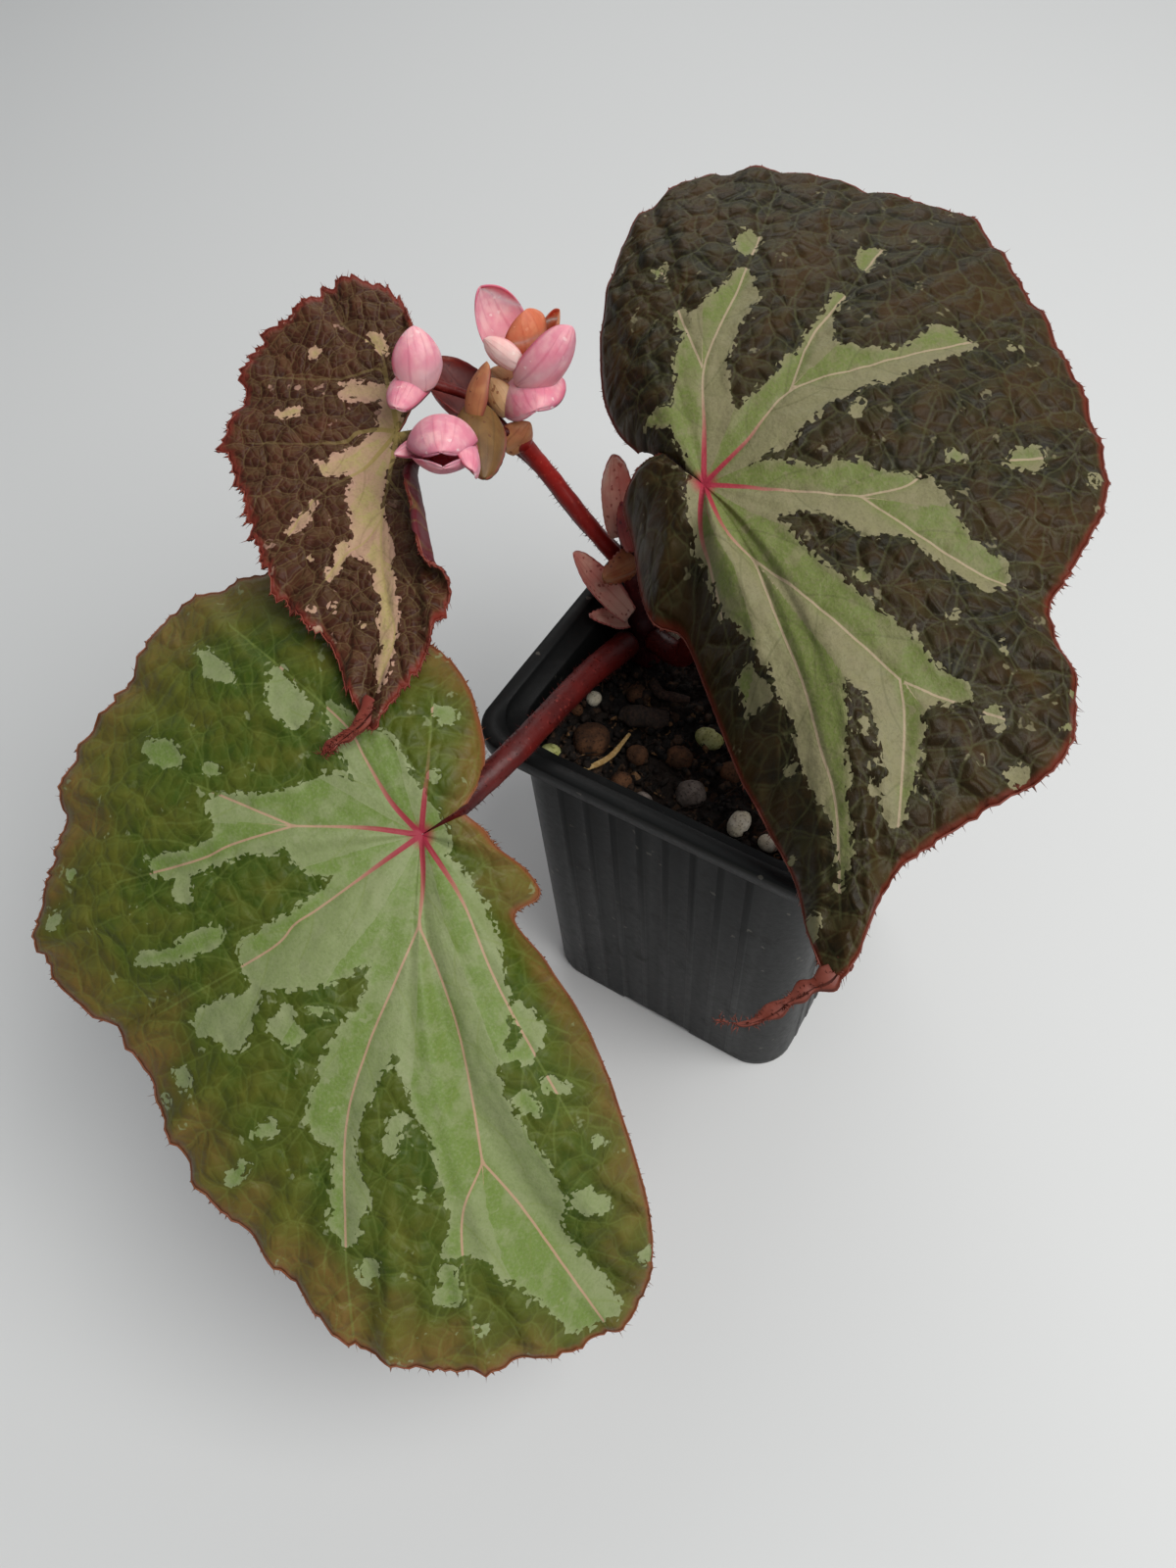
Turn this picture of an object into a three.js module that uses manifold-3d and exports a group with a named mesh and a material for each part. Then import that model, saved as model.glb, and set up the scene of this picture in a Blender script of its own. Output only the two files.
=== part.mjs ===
// Potted begonia: a square nursery pot of potting mix and grit, a short upright stem,
// three large lopsided leaves on long stalks, and a small head of pink flowers.
// Millimetres, +Z up. The origin is the middle of the pot's flat underside, the pot's
// sides lie along X and Y, and -Y is the front.

import * as THREE from "three";
import { mergeVertices } from "three/addons/utils/BufferGeometryUtils.js";
import Module from "manifold-3d";

const wasm = await Module();
wasm.setup();

// ---------------------------------------------------------------- driving dimensions

const GAP = 0.3; // clear space kept between two pieces that touch
const OVERRUN = 1; // how far a joined or cutting body runs past the face it meets

// pot
const POT_HEIGHT = 85.8;
const RIM_HALF = 32; // half the width over the collar
const COLLAR_HEIGHT = 3.5;
const BODY_HALF = 28.1; // half the width of the wall just under the collar
const BODY_TAPER = 0.015; // how much narrower the foot is than the top, as a share
const RIM_RADIUS = 6.5;
const BODY_RADIUS = 8.5;
const WALL = 1.2;
const FLOOR = 1.6;
const MOUTH_HALF = 29.4; // half the opening inside the collar
const MOUTH_DEPTH = 2.2;
const RIB_COUNT = 8; // shallow upright ribs on each side
const RIB_PITCH = 5;
const RIB_WIDTH = 1.1;
const RIB_RAISE = 0.25;
const RIB_MARGIN = 2; // plain wall above and below the ribs
const NOTCH_WIDTH = 16; // raised arch in the middle of each side of the foot
const NOTCH_HEIGHT = 1;
const NOTCH_DEPTH = 5;
const DRAIN_RADIUS = 3.5;
const DRAIN_OFFSET = 15;

// potting mix
const SOIL_LEVEL = 72.5;
const SOIL_ROUGHNESS = 0.7;
const SOIL_RINGS = 4;
const SOIL_SECTORS = 32;
const STONE_SINK = 0.12; // how far a stone's middle lies over the mix, as a share of its height

// plant
const STEM_RADIUS = 2.9;
const BLADE_THICKNESS = 1; // measured square to the leaf's own level
const PETAL_THICKNESS = 0.7;
const PEDICEL_RADIUS = 0.8;
const KNUCKLE_RAISE = 0.35; // how far a joint of the stem stands out
const KNUCKLE_HALF = 1.6; // half the length of such a joint
const LEAF_DROOP = 1.5; // power by which a rib leaves the level towards its margin
const LEAF_PUFF = 1.3; // how far the panels between veins stand up
const TOOTH = 1.1; // how far a margin tooth stands out
const TOOTH_REACH = 6; // the higher, the nearer to the margin a tooth begins
const RING_SPREAD = 0.8; // below 1, the rings of a leaf lie closer near its margin
const TAIL_RADIUS = 1.5; // drawn-out tip of a leaf, where it leaves the blade
const TAIL_TAPER = 1.1; // how much slimmer it ends

// ---------------------------------------------------------------- small helpers

const colours = {
  pot: { color: 0x26282a, roughness: 0.42, metalness: 0 },
  soil: { color: 0x1b1511, roughness: 0.96, metalness: 0 },
  brownStone: { color: 0x5e3c26, roughness: 0.9, metalness: 0 },
  greyStone: { color: 0x6b625c, roughness: 0.92, metalness: 0 },
  paleStone: { color: 0xd3cbb4, roughness: 0.88, metalness: 0 },
  greenStone: { color: 0xa9ad6c, roughness: 0.7, metalness: 0 },
  bark: { color: 0x2c1d14, roughness: 0.92, metalness: 0 },
  straw: { color: 0xb59a62, roughness: 0.8, metalness: 0 },
  stem: { color: 0x6a1f22, roughness: 0.5, metalness: 0 },
  petiole: { color: 0x80251f, roughness: 0.48, metalness: 0 },
  stipule: { color: 0xa75850, roughness: 0.55, metalness: 0 },
  bract: { color: 0x7d4a33, roughness: 0.55, metalness: 0 },
  petal: { color: 0xdc8596, roughness: 0.5, metalness: 0 },
  greenLeaf: { color: 0x5c6a2a, roughness: 0.5, metalness: 0 },
  darkLeaf: { color: 0x4b4a28, roughness: 0.5, metalness: 0 },
  brownLeaf: { color: 0x6a4330, roughness: 0.55, metalness: 0 },
};

// A repeatable stream of numbers between 0 and 1.
function randomStream(seed) {
  let state = seed;
  return () => {
    state = (state * 1664525 + 1013904223) % 4294967296;
    return state / 4294967296;
  };
}

function vector(values) {
  return new THREE.Vector3(...values);
}

// Joins vertices that lie on one another, so that neighbouring triangles share them.
function weld(geometry) {
  const bare = geometry.clone();
  bare.deleteAttribute("normal");
  bare.deleteAttribute("uv");
  return mergeVertices(bare, 1e-4);
}

function toSolid(geometry) {
  const bare = weld(geometry);
  const vertProperties = new Float32Array(bare.attributes.position.array);
  const triVerts = new Uint32Array(bare.index.array);
  return new wasm.Manifold(new wasm.Mesh({ numProp: 3, vertProperties, triVerts }));
}

function toGeometry(solid) {
  const mesh = solid.getMesh();
  const geometry = new THREE.BufferGeometry();
  geometry.setAttribute("position", new THREE.BufferAttribute(mesh.vertProperties, 3));
  geometry.setIndex(new THREE.BufferAttribute(mesh.triVerts, 1));
  geometry.computeVertexNormals();
  return geometry;
}

function joinAll(geometries) {
  return geometries.map(toSolid).reduce((whole, piece) => whole.add(piece));
}

// Takes the tools away from a body, and keeps the largest piece of what is left.
function carve(geometries, tools) {
  let body = joinAll(geometries);
  if (tools.length > 0) {
    body = body.subtract(joinAll(tools));
  }
  const parts = body.decompose();
  parts.sort((a, b) => b.volume() - a.volume());
  return toGeometry(parts[0]);
}

function makeMesh(name, geometry, look) {
  const mesh = new THREE.Mesh(geometry, new THREE.MeshStandardMaterial(look));
  mesh.name = name;
  return mesh;
}

// ---------------------------------------------------------------- shape builders

function roundedSquare(half, radius) {
  const shape = new THREE.Shape();
  shape.moveTo(-half + radius, -half);
  shape.lineTo(half - radius, -half);
  shape.absarc(half - radius, -half + radius, radius, -Math.PI / 2, 0);
  shape.absarc(half - radius, half - radius, radius, 0, Math.PI / 2);
  shape.absarc(-half + radius, half - radius, radius, Math.PI / 2, Math.PI);
  shape.absarc(-half + radius, -half + radius, radius, Math.PI, Math.PI * 1.5);
  return shape;
}

function extrude(shape, bottom, top) {
  const settings = { depth: top - bottom, bevelEnabled: false, curveSegments: 4 };
  return new THREE.ExtrudeGeometry(shape, settings).translate(0, 0, bottom);
}

// Narrows a body towards the ground, as the pot's wall does.
function taperToFoot(geometry) {
  const place = geometry.attributes.position;
  for (let i = 0; i < place.count; i += 1) {
    const share = 1 - BODY_TAPER * (1 - place.getZ(i) / POT_HEIGHT);
    place.setXY(i, place.getX(i) * share, place.getY(i) * share);
  }
  return geometry;
}

// A round stalk along a smooth line. radiusAt gives its radius along the way, 0 to 1.
// grow makes the same stalk larger all round, ends included.
function stalk(points, radiusAt, { steps = 12, sides = 8, grow = 0 } = {}) {
  const route = points.map(vector);
  const last = route.length - 1;
  const outward = (end, inner) => end.clone().sub(inner).setLength(grow);
  const ends = [outward(route[0], route[1]), outward(route[last], route[last - 1])];
  route[0].add(ends[0]);
  route[last].add(ends[1]);
  const path = new THREE.CatmullRomCurve3(route);
  const shape = new THREE.Shape();
  for (let i = 0; i < sides; i += 1) {
    const turn = (i / sides) * 2 * Math.PI;
    const draw = i === 0 ? "moveTo" : "lineTo";
    shape[draw](Math.cos(turn), Math.sin(turn));
  }
  const settings = { steps, extrudePath: path, bevelEnabled: false };
  const geometry = new THREE.ExtrudeGeometry(shape, settings);
  const centres = path.getSpacedPoints(steps);
  const place = geometry.attributes.position;
  const point = new THREE.Vector3();
  for (let i = 0; i < place.count; i += 1) {
    point.fromBufferAttribute(place, i);
    let nearest = 0;
    centres.forEach((centre, k) => {
      if (point.distanceTo(centre) < point.distanceTo(centres[nearest])) {
        nearest = k;
      }
    });
    const radius = radiusAt(nearest / steps) + grow;
    point.sub(centres[nearest]).multiplyScalar(radius).add(centres[nearest]);
    place.setXYZ(i, point.x, point.y, point.z);
  }
  return geometry;
}

// Gives a sheet a thickness: a copy of it set back along its normals, or along the one
// direction given, and a wall along every edge that only one triangle uses.
function thicken(points, faces, front, back, direction = null) {
  const sheet = new THREE.BufferGeometry().setFromPoints(points);
  sheet.setIndex(faces.flat());
  sheet.computeVertexNormals();
  const normals = sheet.attributes.normal;
  const moved = (distance) =>
    points.map((point, i) => {
      const normal = new THREE.Vector3().fromBufferAttribute(normals, i);
      return point.clone().addScaledVector(direction ?? normal, distance);
    });
  const count = points.length;
  const used = new Set();
  const all = [];
  for (const [a, b, c] of faces) {
    all.push([a, b, c], [c + count, b + count, a + count]);
    [[a, b], [b, c], [c, a]].forEach(([from, to]) => used.add(`${from},${to}`));
  }
  for (const edge of used) {
    const [a, b] = edge.split(",").map(Number);
    if (!used.has(`${b},${a}`)) {
      all.push([b, a, a + count], [b, a + count, b + count]);
    }
  }
  const body = new THREE.BufferGeometry();
  body.setFromPoints([...moved(front), ...moved(-back)]);
  body.setIndex(all.flat());
  body.computeVertexNormals();
  return body;
}

// A petal, bract or stipule: a cupped blade that bends from its base to its tip.
// face is the way its hollow side looks, cup the half angle of its cross-section,
// bend the turn along its length, roundness how blunt its tip is. grow makes the
// same blade larger all round, as the clear space that its neighbours keep.
function blade({ base, tip, face, width, cup, bend, roundness }, grow = 0) {
  const rows = 5;
  const columns = 4;
  const rootShare = 0.13;
  const narrowest = 0.07;
  const along = vector(tip).sub(vector(base));
  const chord = along.length() + 2 * grow;
  along.normalize();
  const across = new THREE.Vector3().crossVectors(along, vector(face)).normalize();
  const inward = new THREE.Vector3().crossVectors(across, along);
  const bendRadius = chord / (2 * Math.sin(bend / 2));
  const points = [];
  for (let i = 0; i <= rows; i += 1) {
    const v = Math.sin((Math.PI / 2) * (i / rows)); // rows crowd towards the tip
    const turn = bend * (v - 0.5);
    const swell = Math.sin(Math.PI * (rootShare + (1 - rootShare) * v)) ** roundness;
    const half = (width / 2) * Math.max(narrowest, swell || 0) + grow;
    for (let j = 0; j <= columns; j += 1) {
      const angle = cup * ((2 * j) / columns - 1);
      const side = (half / cup) * Math.sin(angle);
      const rise = (half / cup) * (1 - Math.cos(angle));
      const y = chord / 2 + (bendRadius - rise) * Math.sin(turn);
      const z = bendRadius * Math.cos(bend / 2) - (bendRadius - rise) * Math.cos(turn);
      const point = vector(base).addScaledVector(along, y - grow);
      points.push(point.addScaledVector(across, side).addScaledVector(inward, z));
    }
  }
  const faces = [];
  for (let i = 0; i < rows; i += 1) {
    for (let j = 0; j < columns; j += 1) {
      const a = i * (columns + 1) + j;
      const b = a + 1;
      const c = a + columns + 1;
      const d = c + 1;
      faces.push([a, b, d], [a, d, c]);
    }
  }
  return thicken(points, faces, grow, PETAL_THICKNESS + grow);
}

// A rough lump: a ball of flat faces, stretched, turned and dented by its own draws.
function lump(centre, size, seed, grow = 0) {
  const draw = randomStream(seed);
  const dent = 0.16;
  const geometry = weld(new THREE.IcosahedronGeometry(1, 1));
  const place = geometry.attributes.position;
  const point = new THREE.Vector3();
  for (let i = 0; i < place.count; i += 1) {
    point.fromBufferAttribute(place, i).multiplyScalar(1 - dent * draw());
    place.setXYZ(i, point.x, point.y, point.z);
  }
  const stretch = size.map((length) => length / 2 + grow);
  geometry.scale(...stretch);
  geometry.rotateZ(draw() * Math.PI);
  return geometry.translate(...centre);
}

function ball(centre, radii) {
  return new THREE.SphereGeometry(1, 8, 5).scale(...radii).translate(...centre);
}

// ---------------------------------------------------------------- pot

function ribPlaces() {
  const first = (-(RIB_COUNT - 1) / 2) * RIB_PITCH;
  return Array.from({ length: RIB_COUNT }, (_, i) => first + i * RIB_PITCH);
}

function potRibs() {
  const ribs = [];
  const wallHeight = POT_HEIGHT - COLLAR_HEIGHT;
  for (let side = 0; side < 4; side += 1) {
    for (const place of ribPlaces()) {
      const length = wallHeight - 2 * RIB_MARGIN;
      const rib = new THREE.BoxGeometry(RIB_WIDTH, 2 * RIB_RAISE, length);
      rib.translate(place, -BODY_HALF, wallHeight / 2);
      ribs.push(taperToFoot(rib.rotateZ((side * Math.PI) / 2)));
    }
  }
  return ribs;
}

function potFootCuts() {
  const cuts = [];
  for (let side = 0; side < 4; side += 1) {
    const arch = new THREE.BoxGeometry(NOTCH_WIDTH, 2 * NOTCH_DEPTH, 2 * NOTCH_HEIGHT);
    arch.translate(0, -BODY_HALF, 0);
    cuts.push(arch.rotateZ((side * Math.PI) / 2));
    const length = 2 * (FLOOR + OVERRUN);
    const drain = new THREE.CylinderGeometry(DRAIN_RADIUS, DRAIN_RADIUS, length, 12);
    drain.rotateX(Math.PI / 2);
    const turn = Math.PI / 4 + (side * Math.PI) / 2;
    const [x, y] = [DRAIN_OFFSET * Math.cos(turn), DRAIN_OFFSET * Math.sin(turn)];
    cuts.push(drain.translate(x, y, 0));
  }
  return cuts;
}

function pot() {
  const under = POT_HEIGHT - COLLAR_HEIGHT;
  const wall = taperToFoot(extrude(roundedSquare(BODY_HALF, BODY_RADIUS), 0, under + OVERRUN));
  const collar = extrude(roundedSquare(RIM_HALF, RIM_RADIUS), under, POT_HEIGHT);
  const insideHalf = BODY_HALF - WALL;
  const inside = roundedSquare(insideHalf, BODY_RADIUS - WALL);
  const hollow = taperToFoot(extrude(inside, FLOOR, POT_HEIGHT + OVERRUN));
  const mouthShape = roundedSquare(MOUTH_HALF, BODY_RADIUS - WALL);
  const mouth = extrude(mouthShape, POT_HEIGHT - MOUTH_DEPTH, POT_HEIGHT + OVERRUN);
  const tools = [hollow, mouth, ...potFootCuts()];
  return makeMesh("pot", carve([wall, collar, ...potRibs()], tools), colours.pot);
}

// ---------------------------------------------------------------- stem and stalks

const stemPath = [
  [-20.5, 5, 58],
  [-21.4, 6.5, 74],
  [-23, 8.5, 84],
  [-25, 10.5, 94],
  [-25.4, 11, 101],
];

const petioles = {
  left: { radius: 2.1, points: [
    [-22, 1.2, 79.5], [-21.5, -12, 85], [-20.5, -34, 90.8], [-23, -45.5, 89.6],
    [-25, -51, 87.4]] },
  right: { radius: 1.9, points: [
    [-18.8, 5.8, 77.8], [-11.8, 3.2, 80.5], [-9.8, 3.8, 90], [-9.6, 5.4, 106],
    [-9.4, 4.1, 116.8]] },
  small: { radius: 1.3, points: [
    [-27.4, 10.8, 88.2], [-37.6, 12.2, 93.8], [-48.6, 13.6, 102], [-56, 7.6, 109],
    [-57.7, -6, 113.8]] },
};

const peduncle = { radius: 1.45, points: [
  [-27.6, 8.3, 91.5], [-33, 7.4, 98.5], [-38.8, 7, 105.5], [-42.4, 4.8, 113]] };

function stemShapes(grow = 0) {
  const nodes = [[-22.4, 7.6, 79.5], [-24, 9.5, 88.5], [-25.2, 10.8, 96.5]];
  const slimmer = 0.12;
  const knuckle = STEM_RADIUS + KNUCKLE_RAISE + grow;
  const shaft = stalk(stemPath, (v) => STEM_RADIUS * (1 - slimmer * v), { grow });
  const radii = [knuckle, knuckle, KNUCKLE_HALF + grow];
  return [shaft, ...nodes.map((place) => ball(place, radii))];
}

// A leaf stalk is stoutest where it leaves the stem.
function petioleShapes(name, grow = 0) {
  const { radius, points } = petioles[name];
  const flare = 0.22;
  return [stalk(points, (v) => radius * (1 + flare * (1 - v) ** 3), { grow })];
}

function peduncleShapes(grow = 0) {
  const { radius, points } = peduncle;
  const head = points[points.length - 1];
  const knob = 2 + grow;
  return [stalk(points, () => radius, { steps: 9, grow }), ball(head, [knob, knob, knob])];
}

// ---------------------------------------------------------------- stipules and bracts

const stipules = {
  stipule_boat: { base: [-22.2, 2.6, 85], tip: [-32.7, 2.9, 95], face: [0.34, 0.12, 0.9],
    width: 7.4, cup: 0.95, bend: 0.6, roundness: 0.5 },
  stipule_low: { base: [-22.8, 3.4, 82.5], tip: [-27.4, -1.3, 86.5], face: [0.15, 0.05, 0.94],
    width: 4.5, cup: 1, bend: 0.5, roundness: 0.7 },
  stipule_collar: { base: [-23.2, 11.8, 92], tip: [-26.4, 2.1, 93], face: [-0.56, 0.67, -0.37],
    width: 6, cup: 1, bend: 0.9, roundness: 0.45 },
  stipule_top: { base: [-27, 8.1, 97], tip: [-30.6, 13.3, 108.5], face: [0.68, -0.27, 0.66],
    width: 7.4, cup: 1.1, bend: 0.7, roundness: 0.42 },
  stipule_inner: { base: [-22.7, 5.3, 98], tip: [-26.8, 9.2, 103.5], face: [0, 0.3, -0.92],
    width: 4, cup: 1.1, bend: 0.6, roundness: 0.6 },
};

const bracts = {
  bract_back: { base: [-47.3, 3, 114.5], tip: [-60.1, 7.1, 120.5], face: [0.39, 0.23, 0.88],
    width: 15, cup: 1.1, bend: 0.9, roundness: 0.45 },
  bract_rolled: { base: [-46.7, -1.7, 119], tip: [-46.3, 4.4, 126], face: [0.51, 0.55, -0.51],
    width: 7, cup: 1.25, bend: 1.2, roundness: 0.45 },
  bract_front: { base: [-48.6, 3.4, 119], tip: [-38.7, -9.3, 117.5],
    face: [-0.55, 0.45, -0.62], width: 10, cup: 1.2, bend: 1.2, roundness: 0.5 },
  bract_small: { base: [-42.9, 2, 112.5], tip: [-40.5, 5.5, 116.5], face: [-0.78, 0.27, -0.38],
    width: 6.5, cup: 1.1, bend: 0.9, roundness: 0.5 },
};

// ---------------------------------------------------------------- flowers

// Each flower: the pieces that meet at its base, then the core they close round.
const flowers = {
  flower_left: {
    tepals: [
      { base: [-53.6, -2.6, 123.1], tip: [-56.6, 1.3, 130.6], face: [-0.56, 0.15, -0.78],
        width: 10.4, cup: 1.25, bend: 1.7, roundness: 0.32 },
      { base: [-58.6, 2.6, 121.1], tip: [-53.9, -8.7, 124.1], face: [-0.36, 0.71, -0.55],
        width: 7.6, cup: 1.2, bend: 1.3, roundness: 0.34 },
    ],
    core: { place: [-56.2, 0.6, 122.1], radii: [1.8, 1.8, 1.8] },
    stem: [[-44.6, 4.4, 114.6], [-49.8, 5.2, 117.3], [-55.5, 0.4, 122.1]],
  },
  flower_lower: {
    tepals: [
      { base: [-48.2, -5.7, 120.5], tip: [-40, -15.9, 126.5], face: [-0.07, 0, -0.94],
        width: 13.5, cup: 1.25, bend: 1.7, roundness: 0.3 },
      { base: [-47.8, -6.6, 119.5], tip: [-48.6, -16.2, 123], face: [0.09, -0.06, -0.92],
        width: 6.5, cup: 1.1, bend: 0.8, roundness: 0.6 },
      { base: [-47.5, -6.5, 118.5], tip: [-39, -17, 125], face: [0, 0.11, 0.91],
        width: 11, cup: 0.9, bend: 1.1, roundness: 0.32 },
      { base: [-45.7, -6.2, 120.5], tip: [-35.6, -14.8, 124], face: [-0.76, -0.17, -0.51],
        width: 7.5, cup: 1.2, bend: 1, roundness: 0.4 },
    ],
    core: { place: [-47, -6.6, 119.8], radii: [2, 2, 2] },
    stem: [[-43, 3.4, 115.2], [-45.1, 0, 117], [-47.5, -5.9, 119.5]],
  },
  flower_open: {
    tepals: [
      { base: [-48.5, 13.3, 120.9], tip: [-53.2, 13.6, 131], face: [0.71, -0.22, 0.62],
        width: 11, cup: 1.15, bend: 0.9, roundness: 0.34 },
      { base: [-42.2, 6.9, 120.5], tip: [-36.5, 13.1, 129.5], face: [-0.84, 0.37, -0.36],
        width: 9.5, cup: 1.3, bend: 1.5, roundness: 0.32 },
      { base: [-46.6, 13.3, 119.5], tip: [-38.1, 4.2, 120.5], face: [-0.46, 0.68, -0.59],
        width: 14, cup: 1.2, bend: 1.2, roundness: 0.28 },
      { base: [-42.8, 7.5, 124.5], tip: [-47.4, 5.8, 128.5], face: [-0.27, 0.78, -0.31],
        width: 5, cup: 1.2, bend: 1, roundness: 0.4 },
      { base: [-44.9, 9.3, 118], tip: [-48.6, 7.5, 122], face: [0, 0.89, -0.24],
        width: 6, cup: 1.1, bend: 0.9, roundness: 0.45 },
      { base: [-43.6, 4.6, 117.8], tip: [-47.9, 6.2, 121.5], face: [0, 0.52, -0.68],
        width: 5, cup: 0.9, bend: 0.6, roundness: 0.6 },
      { base: [-43.3, 12.4, 123.5], tip: [-44.1, 12.2, 130.5], face: [-0.25, 0.12, -0.86],
        width: 10.5, cup: 1.2, bend: 1.5, roundness: 0.34 },
      { base: [-44, 14.9, 122.5], tip: [-40, 15.2, 130], face: [-0.54, -0.16, -0.72],
        width: 5.5, cup: 1.1, bend: 0.9, roundness: 0.6 },
    ],
    core: { place: [-45.8, 12.4, 121], radii: [3.4, 3.4, 2.8] },
    stem: [[-42.2, 5, 115.4], [-43.1, 5.4, 118], [-44.9, 10.9, 120.5]],
  },
};

function flowerShapes(name, grow = 0) {
  const { tepals, core, stem } = flowers[name];
  const radii = core.radii.map((value) => value + grow);
  return [
    ball(core.place, radii),
    stalk(stem, () => PEDICEL_RADIUS, { steps: 5, sides: 6, grow }),
    ...tepals.map((tepal) => blade(tepal, grow)),
  ];
}

// ---------------------------------------------------------------- leaves

// A leaf is a fan of ribs from the point where its stalk joins it. Each rib is
// [heading, reach, lift, arch, bow]: its direction in degrees round from the tip, how
// far it runs to the margin, how high the margin stands over the joint, how far the
// rib arches up halfway, and how far it bows sideways there. The ribs go once round
// from one side of the cleft at the stalk to the other.
const leaves = {
  left: {
    place: [-24.4, -52.5, 90], heading: -34, slope: 29, roll: 8.5,
    columns: 66, rings: 6, veins: 11,
    ribs: [
      [76, 6, 0, 0, 0], [58, 10, -1, 1, 0], [48, 16, -5, 1, 0], [39, 19, -7, 1, 0],
      [24, 18, -6, 2, 0], [20, 27, -10, 3, -1], [16, 40, -12, 4, -2], [10, 58, -13, 4, -5],
      [6, 71, -14, 4, -7], [0, 81, -19, 4, -8], [-8, 79, -10, 4, -6], [-19, 77, -5, 3, -3],
      [-30, 73, -3, 3, 0], [-42, 64, -3, 3, 0], [-58, 58, -3, 4, 0], [-76, 53, -6, 4, 0],
      [-92, 60, -9, 4, 0], [-102, 60, -9, 4, 0], [-111, 56, -9, 5, 0], [-123, 57, -11, 5, 0],
      [-139, 54, -13, 5, 0], [-152, 56, -16, 6, 0], [-169, 51, -16, 6, 0],
      [-182, 43, -13, 5, 0], [-199, 31, -8, 4, 0], [-214, 25, -6, 3, 0],
      [-230, 18, -3, 2, 0], [-245, 13, -2, 1, 0], [-258, 8, 0, 0, 0],
    ],
    tail: [],
  },
  right: {
    place: [-9.3, 3.7, 118], heading: -48, slope: 16, roll: 10.5,
    columns: 72, rings: 6, veins: 11,
    ribs: [
      [-148, 15, -7, 0, 0], [-150, 21, -7, 1, 0], [-157, 28, -6, 2, 0],
      [-169, 40, -5, 3, 0], [-180, 53, -5, 3, 0], [-190, 61, -7, 4, 0],
      [-203, 64, -9, 4, 0], [-220, 64, -11, 4, 0], [-232, 65, -11, 4, 0],
      [-246, 59, -9, 4, 0], [-260, 56, -8, 4, 0], [-273, 55, -7, 3, 0],
      [-285, 55, -7, 3, 0], [-298, 51, -6, 3, 0], [-307, 50, -5, 3, 0],
      [-315, 57, -6, 3, 0], [-325, 61, -5, 3, 0], [-340, 59, -4, 3, 3],
      [-350, 61, -4, 3, 5], [-357, 69, -4, 2, 7], [-360, 71, -5, 2, 7],
      [-361, 65, -7, 2, 6], [-361, 57, -10, 3, 4], [-363, 49, -12, 4, 3],
      [-367, 39, -14, 5, 3], [-375, 25, -16, 6, 2], [-388, 17, -16, 4, 1],
      [-404, 17, -14, 4, 0], [-424, 14, -14, 4, 0], [-451, 12, -12, 4, 0],
      [-473, 13, -8, 3, 0], [-487, 12, -1, 2, 0], [-499, 11, 1, 1, 0.5],
      [-508, 9, 3, 1, 0.8],
    ],
    tail: [[31.8, -38.6, 97], [36.4, -43.4, 94.6], [33.4, -48.6, 92.6], [29.4, -54.4, 90.4],
      [25.4, -56.2, 90.2]],
  },
  small: {
    place: [-58, -5.5, 116], heading: -64, slope: 18, roll: 2,
    columns: 50, rings: 5, veins: 9,
    ribs: [
      [455, 7, 1, 0, 0], [430, 7, 2, 0, 0], [410, 8, 3, 0, 0], [396, 12, 4, 0, 0],
      [389, 18, 5, 0, 0], [386, 25, 5, 0, 0], [384, 30, 3, 0, 0], [377, 36, 3, 1, 0],
      [374, 39.5, 3, 1, 0.3], [369.5, 43.5, 3, 1, 0.6], [364, 49, 3, 1, 1],
      [358.5, 43, 2, 1, 0.8], [351, 36, 2, 1, 0.4], [336, 32, 2, 1, 0], [315, 27, 2, 1, 0],
      [299, 25, 2, 1, 0], [278, 26, 3, 1, 0], [262, 25, 3, 1, 0], [243, 27, 3, 1, 0],
      [222, 26, 4, 1, 0], [204, 27, 4, 1, 0], [190, 24, 3, 1, 0], [180, 19, 3, 0, 0],
      [168, 12, 2, 0, 0], [153, 8, 2, 0, 0],
    ],
    tail: [[-35.6, -43.6, 104.4], [-35.9, -47.3, 103.4], [-37.2, -50, 102.3],
      [-38.7, -53.5, 101.2]],
  },
};

function ribCurves(ribs) {
  const edges = [];
  const offsets = [];
  for (const [heading, reach, lift, arch, bow] of ribs) {
    const turn = THREE.MathUtils.degToRad(heading);
    edges.push(new THREE.Vector3(reach * Math.cos(turn), reach * Math.sin(turn), lift));
    offsets.push(new THREE.Vector3(-bow * Math.sin(turn), bow * Math.cos(turn), arch));
  }
  const smooth = (points) => new THREE.CatmullRomCurve3(points, false, "catmullrom", 0.5);
  return { edge: smooth(edges), offset: smooth(offsets) };
}

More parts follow.
